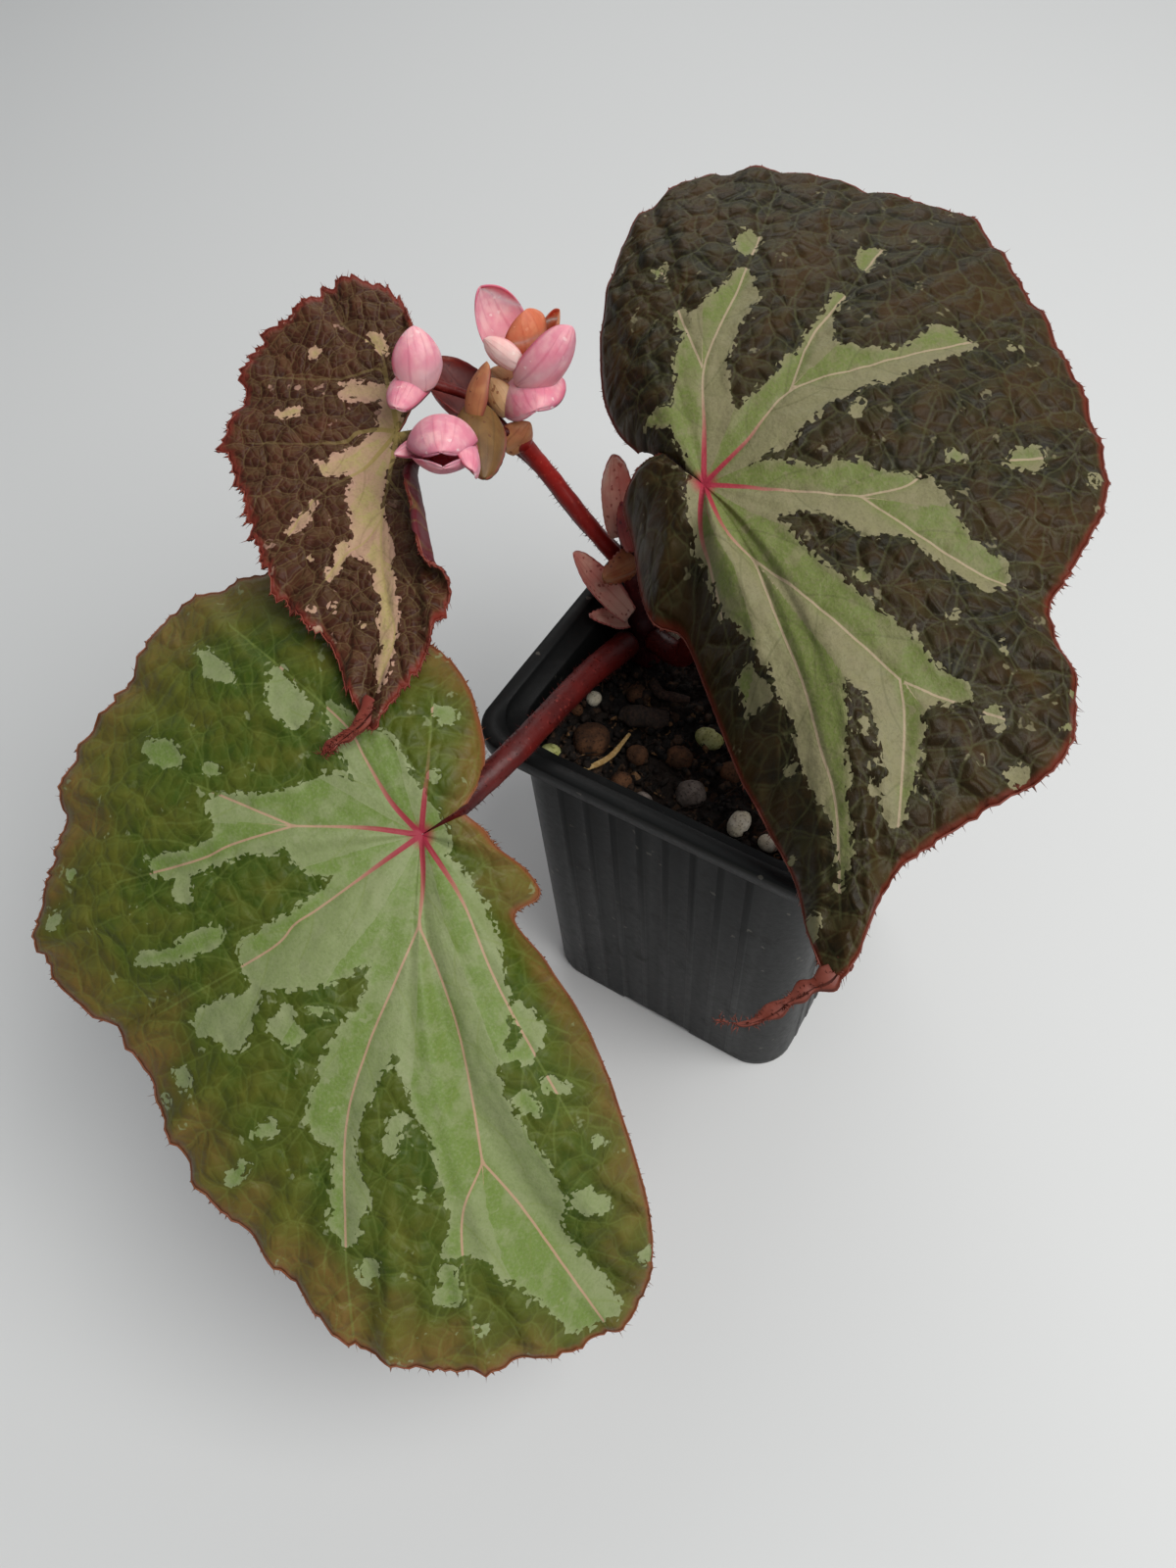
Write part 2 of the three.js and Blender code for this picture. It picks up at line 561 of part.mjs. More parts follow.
function leafGeometry({ ribs, columns, rings, veins }) {
  const { edge, offset } = ribCurves(ribs);
  const fullReach = 40; // ribs shorter than this carry smaller teeth and panels
  const points = [new THREE.Vector3()];
  for (let i = 0; i <= columns; i += 1) {
    const u = i / columns;
    const margin = edge.getPoint(u);
    const bulge = offset.getPoint(u);
    const scale = Math.min(1, margin.length() / fullReach) ** 2;
    const tooth = (i % 2) * TOOTH * scale;
    const panel = LEAF_PUFF * scale * Math.abs(Math.sin(Math.PI * veins * u));
    for (let k = 1; k <= rings; k += 1) {
      const t = (k / rings) ** RING_SPREAD;
      const hump = 4 * t * (1 - t);
      const run = t + (tooth * t ** TOOTH_REACH) / margin.length();
      const height = margin.z * t ** LEAF_DROOP + panel * hump;
      const point = new THREE.Vector3(margin.x * run, margin.y * run, height);
      point.addScaledVector(bulge, hump);
      points.push(point);
    }
  }
  const faces = [];
  const ringPoint = (i, k) => 1 + i * rings + (k - 1);
  for (let i = 0; i < columns; i += 1) {
    faces.push([0, ringPoint(i + 1, 1), ringPoint(i, 1)]);
    for (let k = 1; k < rings; k += 1) {
      const a = ringPoint(i, k);
      const b = ringPoint(i + 1, k);
      const c = ringPoint(i, k + 1);
      const d = ringPoint(i + 1, k + 1);
      faces.push([a, b, d], [a, d, c]);
    }
  }
  return thicken(points, faces, 0, BLADE_THICKNESS, new THREE.Vector3(0, 0, 1));
}

function leaf(name, look) {
  const design = leaves[name];
  const turn = new THREE.Euler(
    THREE.MathUtils.degToRad(design.roll),
    THREE.MathUtils.degToRad(design.slope),
    THREE.MathUtils.degToRad(design.heading),
    "ZYX",
  );
  const frame = new THREE.Matrix4().makeRotationFromEuler(turn);
  frame.setPosition(...design.place);
  const shapes = [leafGeometry(design).applyMatrix4(frame)];
  if (design.tail.length > 0) {
    const radiusAt = (v) => TAIL_RADIUS - TAIL_TAPER * v;
    shapes.push(stalk(design.tail, radiusAt, { steps: 8, sides: 6 }));
  }
  return makeMesh(`leaf_${name}`, carve(shapes, petioleShapes(name, GAP)), look);
}

// ---------------------------------------------------------------- potting mix and grit

function soilHeight(x, y) {
  const wave = Math.sin(x * 0.31 + 0.6) * Math.cos(y * 0.27) + 0.5 * Math.sin((x - y) * 0.6);
  return SOIL_LEVEL + SOIL_ROUGHNESS * wave;
}

// Stones that the top of the mix shows: [x, y, across, along, high, kind].
const placedStones = [
  [-19.6, -15.6, 7.6, 9, 6.4, "brownStone"],
  [-23.6, -7.6, 3.2, 3.6, 3, "paleStone"],
  [-24, -21.2, 4.4, 4.8, 4, "greenStone"],
  [-17.6, -3.2, 4.6, 5, 4.2, "brownStone"],
  [-1.8, -5.6, 4.2, 5.8, 4.2, "greenStone"],
  [4.6, -9.6, 5.4, 5, 4.4, "brownStone"],
  [-4.2, -11.6, 5.8, 6.2, 5, "brownStone"],
  [-10.6, -14.6, 5, 4.6, 4.2, "brownStone"],
  [-10.4, -20.4, 4.6, 5, 4.2, "brownStone"],
  [-5.4, -21.6, 4.2, 4.2, 3.8, "greyStone"],
  [0.9, -17, 6.8, 6.4, 5.6, "greyStone"],
  [10.4, -17.8, 6.2, 4.2, 4, "paleStone"],
  [16.2, -19.2, 4.2, 3.6, 3.4, "paleStone"],
  [6.4, -22.6, 3.6, 3.4, 3, "brownStone"],
  [12.2, -23, 4, 3.8, 3.4, "brownStone"],
  [-24.9, -11.2, 2.8, 2.8, 2.8, "brownStone"],
];

// The rest of the surface carries stones by a seeded draw.
function scatteredStones() {
  const draw = randomStream(29);
  const kinds = ["brownStone", "greyStone", "brownStone", "paleStone"];
  const wanted = 8;
  const edgeSpace = 5;
  const reach = BODY_HALF - WALL - edgeSpace;
  const foremost = -8;
  const spacing = 8;
  const found = [];
  while (found.length < wanted) {
    const x = (2 * draw() - 1) * reach;
    const y = foremost + (reach - foremost) * draw();
    const size = 3.6 + 2.6 * draw();
    const taken = [...placedStones, ...found, [-22, 7], [-14, -1.2], [-13.6, -8], [-12, 4]];
    if (taken.every(([a, b]) => Math.hypot(a - x, b - y) > spacing)) {
      found.push([x, y, size, size * 1.1, size * 0.85, kinds[found.length % kinds.length]]);
    }
  }
  return found;
}

function stoneShape([x, y, across, along, high], index, grow = 0) {
  const centre = [x, y, soilHeight(x, y) + STONE_SINK * high];
  const firstSeed = 3;
  return lump(centre, [across, along, high], firstSeed + index, grow);
}

// Loose bits lying on the mix: a bark chip, a twig and a straw.
const litter = {
  bark_chip: { look: "bark", points: [[-17.6, -8.4, 73.6], [-13.6, -7.6, 74.2],
    [-9.6, -5.6, 73.8]], radius: 2 },
  twig: { look: "bark", points: [[-16.2, 0.4, 73.4], [-13.4, -1.4, 73.8], [-8.6, 0, 73.4]],
    radius: 0.9 },
  straw: { look: "straw", points: [[-17.8, -23, 73.4], [-14.5, -18, 73.8],
    [-14, -11.4, 73.4]], radius: 0.5 },
};

function litterShape({ points, radius }, grow = 0) {
  return stalk(points, () => radius, { steps: 5, sides: 6, grow });
}

function soilBlank() {
  const half = (BODY_HALF - WALL) * (1 - BODY_TAPER) - GAP;
  const outline = roundedSquare(half, BODY_RADIUS - WALL).getSpacedPoints(SOIL_SECTORS);
  outline.pop();
  const points = [new THREE.Vector3(0, 0, soilHeight(0, 0))];
  for (const corner of outline) {
    for (let k = 1; k <= SOIL_RINGS; k += 1) {
      const x = (corner.x * k) / SOIL_RINGS;
      const y = (corner.y * k) / SOIL_RINGS;
      points.push(new THREE.Vector3(x, y, soilHeight(x, y)));
    }
    points.push(new THREE.Vector3(corner.x, corner.y, FLOOR + GAP));
  }
  points.push(new THREE.Vector3(0, 0, FLOOR + GAP));
  const stride = SOIL_RINGS + 1;
  const last = points.length - 1;
  const faces = [];
  for (let i = 0; i < outline.length; i += 1) {
    const here = 1 + i * stride;
    const next = 1 + ((i + 1) % outline.length) * stride;
    faces.push([0, here, next]);
    for (let k = 0; k < SOIL_RINGS; k += 1) {
      faces.push([here + k, here + k + 1, next + k + 1], [here + k, next + k + 1, next + k]);
    }
    faces.push([last, next + SOIL_RINGS, here + SOIL_RINGS]);
  }
  const geometry = new THREE.BufferGeometry().setFromPoints(points);
  geometry.setIndex(faces.flat());
  return geometry;
}

// ---------------------------------------------------------------- assembly

const begonia = new THREE.Group();
begonia.add(pot());

const stones = [...placedStones, ...scatteredStones()];
const soilTools = [
  ...stones.map((stone, i) => stoneShape(stone, i, GAP)),
  ...Object.values(litter).map((item) => litterShape(item, GAP)),
  ...stemShapes(GAP),
];
begonia.add(makeMesh("potting_mix", carve([soilBlank()], soilTools), colours.soil));

stones.forEach((stone, i) => {
  const name = `stone_${String(i + 1).padStart(2, "0")}`;
  begonia.add(makeMesh(name, carve([stoneShape(stone, i)], []), colours[stone[5]]));
});

for (const [name, item] of Object.entries(litter)) {
  const tools = stones.map((stone, i) => stoneShape(stone, i, GAP));
  begonia.add(makeMesh(name, carve([litterShape(item)], tools), colours[item.look]));
}

begonia.add(makeMesh("stem", carve(stemShapes(), []), colours.stem));
for (const name of Object.keys(petioles)) {
  const geometry = carve(petioleShapes(name), stemShapes(GAP));
  begonia.add(makeMesh(`petiole_${name}`, geometry, colours.petiole));
}
begonia.add(makeMesh("peduncle", carve(peduncleShapes(), stemShapes(GAP)), colours.petiole));

// Every stipule, flower and bract gives way to the pieces placed before it.
const stalkSpace = [
  ...stemShapes(GAP),
  ...Object.keys(petioles).flatMap((name) => petioleShapes(name, GAP)),
  ...peduncleShapes(GAP),
];
const taken = [...stalkSpace];
for (const [name, design] of Object.entries(stipules)) {
  begonia.add(makeMesh(name, carve([blade(design)], taken), colours.stipule));
  taken.push(blade(design, GAP));
}
for (const name of Object.keys(flowers)) {
  begonia.add(makeMesh(name, carve(flowerShapes(name), taken), colours.petal));
  taken.push(...flowerShapes(name, GAP));
}
for (const [name, design] of Object.entries(bracts)) {
  begonia.add(makeMesh(name, carve([blade(design)], taken), colours.bract));
  taken.push(blade(design, GAP));
}

begonia.add(leaf("left", colours.greenLeaf));
begonia.add(leaf("right", colours.darkLeaf));
begonia.add(leaf("small", colours.brownLeaf));

export default begonia;
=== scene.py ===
"""Looks of the potted begonia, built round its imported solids.

The solids fix where each piece is. Every one of them is replaced here by a finer mesh of
the same form: puckered leaves with pale arms along their veins, toothed red margins, hairy
stalks, cupped petals, rough grit and a ribbed pot. Lengths in the tables are millimetres in
the part's own frame, and MM turns them into metres.
"""

import logging
import math
import random
from dataclasses import dataclass
from enum import Enum

import bmesh
import bpy
import numpy as np
from mathutils import Euler, Matrix, Vector, noise


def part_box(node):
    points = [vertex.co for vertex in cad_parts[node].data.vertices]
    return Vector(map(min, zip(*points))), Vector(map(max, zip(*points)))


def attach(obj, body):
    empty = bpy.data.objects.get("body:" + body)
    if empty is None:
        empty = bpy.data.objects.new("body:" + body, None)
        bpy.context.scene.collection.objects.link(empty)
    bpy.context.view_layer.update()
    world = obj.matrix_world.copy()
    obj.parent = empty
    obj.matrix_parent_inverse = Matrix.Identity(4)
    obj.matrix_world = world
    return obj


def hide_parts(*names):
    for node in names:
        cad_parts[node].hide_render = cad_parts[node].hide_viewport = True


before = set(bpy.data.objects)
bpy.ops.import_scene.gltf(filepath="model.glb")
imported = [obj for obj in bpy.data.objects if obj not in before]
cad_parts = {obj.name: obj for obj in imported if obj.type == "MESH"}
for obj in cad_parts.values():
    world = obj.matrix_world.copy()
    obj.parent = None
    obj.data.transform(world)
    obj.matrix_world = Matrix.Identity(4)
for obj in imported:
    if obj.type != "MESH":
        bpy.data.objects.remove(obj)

MM = 0.001
BODY = "root"
FULL_TURN = 6.28
LINE_POINTS = 400
# The first direction across a line is taken from this one.
SIDE_HINT = (0.31, 0.93, 0.2)
# Numbers that scatter the middles of cells, in the same way each time.
SCATTER = ((127.1, 311.7), (269.5, 183.3))
SCATTER_SIZE = 4375.85
# Farther than any place on a leaf, in millimetres and in cells.
FAR = 99.0
log = logging.getLogger("begonia")

Colour = tuple[float, float, float, float]
Point = tuple[float, float, float]


def tint(code: str) -> Colour:
    """Linear colour of a six-digit sRGB code."""
    channels = [int(code[i:i + 2], 16) / 255 for i in (0, 2, 4)]
    return (*[c / 12.92 if c <= 0.04045 else ((c + 0.055) / 1.055) ** 2.4 for c in channels], 1.0)


# ------------------------------------------------------------------ shader writing


class Wire:
    """One number on its way through a material, written as a Python value."""

    def __init__(self, recipe: "Recipe", socket: bpy.types.NodeSocket) -> None:
        """Wraps a socket of the recipe's node tree."""
        self.recipe = recipe
        self.socket = socket

    def __add__(self, other: "Wire | float") -> "Wire":
        """Sum."""
        return self.recipe.math("ADD", self, other)

    __radd__ = __add__

    def __sub__(self, other: "Wire | float") -> "Wire":
        """Difference."""
        return self.recipe.math("SUBTRACT", self, other)

    def __rsub__(self, other: float) -> "Wire":
        """Difference, from a number."""
        return self.recipe.math("SUBTRACT", other, self)

    def __mul__(self, other: "Wire | float") -> "Wire":
        """Product."""
        return self.recipe.math("MULTIPLY", self, other)

    __rmul__ = __mul__


class Recipe:
    """A material in the making: its node tree, and short ways to add to it."""

    def __init__(self, name: str, **constants: float | tuple) -> None:
        """Starts a material with one Principled shader.

        Args:
            name: the material's name.
            constants: values for the shader's own sockets, with _ for a space.
        """
        self.material = bpy.data.materials.new(name)
        self.material.use_nodes = True
        self.tree = self.material.node_tree
        self.shader = self.tree.nodes["Principled BSDF"]
        for key, value in constants.items():
            self.shader.inputs[key.replace("_", " ")].default_value = value

    def feed(self, socket: bpy.types.NodeSocket, value: object) -> None:
        """Links or sets a socket, whichever the value asks for.

        Args:
            socket: the input socket.
            value: a Wire or an output socket to link, or a plain value to set.
        """
        if isinstance(value, Wire):
            value = value.socket
        if isinstance(value, bpy.types.NodeSocket):
            self.tree.links.new(value, socket)
        else:
            socket.default_value = value

    def node(self, kind: str, settings: dict | None = None,
             inputs: dict | None = None) -> bpy.types.Node:
        """Adds a node.

        Args:
            kind: its type.
            settings: its own properties, set first.
            inputs: values or links of its sockets, by name or number.

        Returns:
            The node.
        """
        node = self.tree.nodes.new(kind)
        for key, value in (settings or {}).items():
            setattr(node, key, value)
        for key, value in (inputs or {}).items():
            self.feed(node.inputs[key], value)
        return node

    def math(self, operation: str, *values: "Wire | float") -> Wire:
        """Adds a Math node and returns what it gives."""
        node = self.node("ShaderNodeMath", {"operation": operation}, dict(enumerate(values)))
        return Wire(self, node.outputs[0])

    def step(self, value: Wire, low: float, high: float) -> Wire:
        """A smooth change from 0 at low to 1 at high."""
        node = self.node("ShaderNodeMapRange", {"interpolation_type": "SMOOTHSTEP"},
                         {"Value": value, "From Min": low, "From Max": high})
        return Wire(self, node.outputs["Result"])

    def mix(self, share: "Wire | float", first: object, second: object,
            blend: str = "MIX") -> bpy.types.NodeSocket:
        """Blends two colours and returns the result's socket."""
        settings = {"data_type": "RGBA", "blend_type": blend, "clamp_factor": True}
        return self.node("ShaderNodeMix", settings, {0: share, 6: first, 7: second}).outputs[2]

    def field(self, name: str) -> Wire:
        """A number that the mesh carries at its vertices."""
        node = self.node("ShaderNodeAttribute", {"attribute_name": name})
        return Wire(self, node.outputs["Fac"])

    def solid(self) -> bpy.types.NodeSocket:
        """The place on the piece, in metres."""
        return self.node("ShaderNodeTexCoord").outputs["Object"]

    def flat(self) -> bpy.types.NodeSocket:
        """The place on the piece's own sheet, from its UV map."""
        return self.node("ShaderNodeUVMap", {"uv_map": "sheet"}).outputs["UV"]

    def cloud(self, where: bpy.types.NodeSocket, size: float, detail: float = 3.0,
              rough: float = 0.55) -> Wire:
        """Noise between 0 and 1, with features of a size in millimetres."""
        node = self.node("ShaderNodeTexNoise", None, {
            "Vector": where, "Scale": 1 / (size * MM), "Detail": detail, "Roughness": rough})
        return Wire(self, node.outputs["Fac"])

    def cells(self, where: bpy.types.NodeSocket, size: float) -> bpy.types.Node:
        """A cell pattern, with cells of a size in millimetres."""
        return self.node("ShaderNodeTexVoronoi", None,
                         {"Vector": where, "Scale": 1 / (size * MM)})

    def web(self, where: bpy.types.NodeSocket, size: float,
            shift: tuple[float, float] = (0.0, 0.0)) -> Wire:
        """How far a place on a sheet is from the borders of cells, as a share of a cell.

        Args:
            where: the place on the sheet.
            size: how wide a cell is, in millimetres.
            shift: how far the pattern is moved, in millimetres.

        Returns:
            0 on a border, and about 0.4 in the middle of a cell.
        """
        moved = self.node("ShaderNodeVectorMath", {"operation": "ADD"},
                          {0: where, 1: (shift[0] * MM, shift[1] * MM, 0.0)})
        node = self.node("ShaderNodeTexVoronoi",
                         {"feature": "DISTANCE_TO_EDGE", "voronoi_dimensions": "2D"},
                         {"Vector": moved.outputs["Vector"], "Scale": 1 / (size * MM)})
        return Wire(self, node.outputs["Distance"])

    def bent(self, where: bpy.types.NodeSocket, size: float,
             reach: float) -> bpy.types.NodeSocket:
        """Places on a sheet, pushed about by noise.

        Args:
            where: the places.
            size: the size of the noise's features, in millimetres.
            reach: how far it may push, in millimetres.

        Returns:
            The socket of the moved places.
        """
        cloud = self.node("ShaderNodeTexNoise", None,
                          {"Vector": where, "Scale": 1 / (size * MM), "Detail": 2.0})
        push = self.node("ShaderNodeVectorMath", {"operation": "MULTIPLY_ADD"},
                         {0: cloud.outputs["Color"], 1: (reach * MM,) * 3, 2: where})
        return push.outputs["Vector"]

    def chance(self, where: bpy.types.NodeSocket, size: float) -> Wire:
        """A number between 0 and 1 that is the same all over a cell."""
        split = self.node("ShaderNodeSeparateColor", None,
                          {"Color": self.cells(where, size).outputs["Color"]})
        return Wire(self, split.outputs["Red"])

    def bump(self, height: Wire, depth: float, strength: float = 1.0) -> None:
        """Feeds the shader's normal with a height, of a depth in millimetres."""
        node = self.node("ShaderNodeBump", None, {
            "Height": height, "Distance": depth * MM, "Strength": strength})
        self.feed(self.shader.inputs["Normal"], node.outputs["Normal"])

    def wear(self, **links: object) -> bpy.types.Material:
        """Feeds the shader's varying sockets and returns the material."""
        for key, value in links.items():
            self.feed(self.shader.inputs[key.replace("_", " ")], value)
        return self.material


# ------------------------------------------------------------------ mesh making


def spline(points: np.ndarray, shares: np.ndarray, power: float = 0.0) -> np.ndarray:
    """Points along a smooth line through the given ones.

    Args:
        points: the given points, one a row.
        shares: places along the line, 0 to 1.
        power: 0 for even spans, 0.5 for spans that go by their length.

    Returns:
        One point for each share.
    """
    count = len(points)
    reach = (count - 1) * shares
    low = np.minimum(np.floor(reach).astype(int), count - 2)
    part = (reach - low)[:, None]
    ends = np.vstack([2 * points[0] - points[1], points, 2 * points[-1] - points[-2]])
    p0, p1, p2, p3 = (ends[low + k] for k in range(4))
    d0, d1, d2 = (np.linalg.norm(b - a, axis=1, keepdims=True) ** power
                  for a, b in ((p0, p1), (p1, p2), (p2, p3)))
    m1 = ((p1 - p0) / d0 - (p2 - p0) / (d0 + d1) + (p2 - p1) / d1) * d1
    m2 = ((p2 - p1) / d1 - (p3 - p1) / (d1 + d2) + (p3 - p2) / d2) * d1
    cubic = 2 * (p1 - p2) + m1 + m2
    square = 3 * (p2 - p1) - 2 * m1 - m2
    return ((cubic * part + square) * part + m1) * part + p1


def even_points(points: list[Point], count: int) -> np.ndarray:
    """A smooth line through points, cut into equal steps.

    Args:
        points: the given points.
        count: how many steps it is cut into.

    Returns:
        The count + 1 places where steps start or end, one a row.
    """
    fine = spline(np.array(points, float), np.linspace(0, 1, LINE_POINTS), 0.5)
    run = np.concatenate([[0], np.cumsum(np.linalg.norm(np.diff(fine, axis=0), axis=1))])
    wanted = np.linspace(0, run[-1], count + 1)
    return np.stack([np.interp(wanted, run, fine[:, k]) for k in range(3)], axis=1)


def carried_frames(line: np.ndarray) -> list[tuple[Vector, Vector, Vector]]:
    """Directions at each point of a line that don't twist along it.

    Args:
        line: the points, one a row.

    Returns:
        For each point, two directions across the line and the one along it.
    """
    along = np.gradient(line, axis=0)
    frames = []
    side = Vector(SIDE_HINT)
    for step in along:
        ahead = Vector(step).normalized()
        side = (side - ahead * side.dot(ahead)).normalized()
        frames.append((side.copy(), ahead.cross(side), ahead))
    return frames


class Workpiece:
    """A mesh in the making, and the way it becomes a piece of the plant."""

    def __init__(self) -> None:
        """Starts an empty mesh."""
        self.mesh = bmesh.new()

    def skin(self, loops: list[list[Vector]]) -> None:
        """Grows a closed skin through loops of points, each with as many as the first.

        Args:
            loops: the loops in order; both ends are closed with a face.
        """
        mesh = self.mesh
        order = bmesh.ops.create_circle(mesh, segments=len(loops[0]), radius=1.0)["verts"]
        edges = list({edge for vert in order for edge in vert.link_edges})
        skirt = set(order)
        rims = [edges]
        for vert, point in zip(order, loops[0]):
            vert.co = point
        for loop in loops[1:]:
            grown = bmesh.ops.extrude_edge_only(mesh, edges=edges)["geom"]
            fresh = {item for item in grown if isinstance(item, bmesh.types.BMVert)}
            edges = [item for item in grown if isinstance(item, bmesh.types.BMEdge)
                     and item.verts[0] in fresh and item.verts[1] in fresh]
            order = [next(edge.other_vert(vert) for edge in vert.link_edges
                          if edge.other_vert(vert) in fresh) for vert in order]
            skirt |= fresh
            for vert, point in zip(order, loop):
                vert.co = point
        rims.append(edges)
        for rim in rims:
            bmesh.ops.contextual_create(mesh, geom=rim)
        faces = list({face for vert in skirt for face in vert.link_faces})
        bmesh.ops.recalc_face_normals(mesh, faces=faces)

    def tube(self, points: list[Point], radii: list[float], steps: int, sides: int,
             flatness: float = 1.0, wobble: float = 0.0) -> np.ndarray:
        """Adds a round or oval stalk.

        Args:
            points: its route, in millimetres.
            radii: its radius along the way, at even shares.
            steps: rings along it.
            sides: sides round it.
            flatness: its thickness as a share of its width.
            wobble: how uneven its skin is, in millimetres.

        Returns:
            The ring centres, in millimetres.
        """
        line = even_points(points, steps)
        widths = np.interp(np.linspace(0, 1, steps + 1), np.linspace(0, 1, len(radii)), radii)
        loops = []
        for centre, width, (side, up, _) in zip(line, widths, carried_frames(line)):
            loop = []
            for k in range(sides):
                turn = 2 * math.pi * k / sides
                spot = side * math.cos(turn) + up * math.sin(turn) * flatness
                rough = wobble * noise.noise((Vector(centre) + spot * width) * 0.45)
                loop.append((Vector(centre) + spot * (width + rough)) * MM)
            loops.append(loop)
        self.skin(loops)
        return line

    def hairs(self, roots: list[tuple[Vector, Vector]], length: float, radius: float,
              draw: random.Random) -> None:
        """Adds fine tapering hairs.

        Args:
            roots: where each stands and which way it points, in millimetres.
            length: their usual length.
            radius: their radius at the root.
            draw: the seeded draw that varies them.
        """
        for root, way in roots:
            reach = length * draw.uniform(0.5, 1.25)
            lean = Vector([draw.gauss(0, 0.28) for _ in range(3)])
            axis = (way + lean).normalized()
            turn = axis.to_track_quat("Z", "Y").to_matrix().to_4x4()
            spot = Matrix.Translation((root + axis * reach * 0.45) * MM)
            bmesh.ops.create_cone(self.mesh, segments=3, radius1=radius * MM, radius2=0,
                                  depth=reach * MM, cap_ends=True, matrix=spot @ turn)

    def ball(self, centre: Point, radii: Point, levels: int = 3) -> None:
        """Adds a round body.

        Args:
            centre: its middle, in millimetres.
            radii: its three radii, in millimetres.
            levels: how often its faces are divided.
        """
        matrix = Matrix.Translation(Vector(centre) * MM) @ Matrix.Diagonal((*radii, 1.0))
        scale = Matrix.Diagonal((MM, MM, MM, 1.0))
        bmesh.ops.create_icosphere(self.mesh, subdivisions=levels, radius=1.0,
                                   matrix=matrix @ scale)

    def absorb(self, other: "Workpiece") -> None:
        """Takes in another mesh, which ends there.

        Args:
            other: the workpiece whose mesh is taken in.
        """
        held = bpy.data.meshes.new("held")
        other.mesh.to_mesh(held)
        other.mesh.free()
        self.mesh.from_mesh(held)
        bpy.data.meshes.remove(held)

    def settle(self, name: str, materials: list[bpy.types.Material],
               nodes: list[str]) -> bpy.types.Object:
        """Turns the mesh into a piece of the plant.

        Args:
            name: the piece's name.
            materials: its materials, in slot order.
            nodes: the CAD nodes that it stands for.

        Returns:
            The new object.
        """
        data = bpy.data.meshes.new(name)
        self.mesh.to_mesh(data)
        self.mesh.free()
        for polygon in data.polygons:
            polygon.use_smooth = True
        for material in materials:
            data.materials.append(material)
        piece = bpy.data.objects.new(name, data)
        bpy.context.scene.collection.objects.link(piece)
        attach(piece, BODY)
        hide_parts(*nodes)
        log.info("%s: %d faces", name, len(data.polygons))
        return piece


def cell_field(x: np.ndarray, y: np.ndarray, size: float, seed: float) -> np.ndarray:
    """How far places are from the borders of irregular cells.

    Args:
        x: places, in millimetres.
        y: the same.
        size: how wide a cell is.
        seed: which pattern.

    Returns:
        0 on a border and about 0.5 in the middle of a cell.
    """
    (ax, ay), (bx, by) = SCATTER
    first = np.full(x.shape, FAR)
    second = np.full(x.shape, FAR)
    across = np.floor(x / size)
    along = np.floor(y / size)
    for i in (-1, 0, 1):
        for j in (-1, 0, 1):
            a, b = across + i, along + j
            jx = np.modf(np.abs(np.sin(a * ax + b * ay + seed) * SCATTER_SIZE))[0]
            jy = np.modf(np.abs(np.sin(a * bx + b * by + seed) * SCATTER_SIZE))[0]
            reach = np.hypot(a + 0.15 + 0.7 * jx - x / size, b + 0.15 + 0.7 * jy - y / size)
            second = np.minimum(second, np.maximum(first, reach))
            first = np.minimum(first, reach)
    return second - first


# ------------------------------------------------------------------ leaves


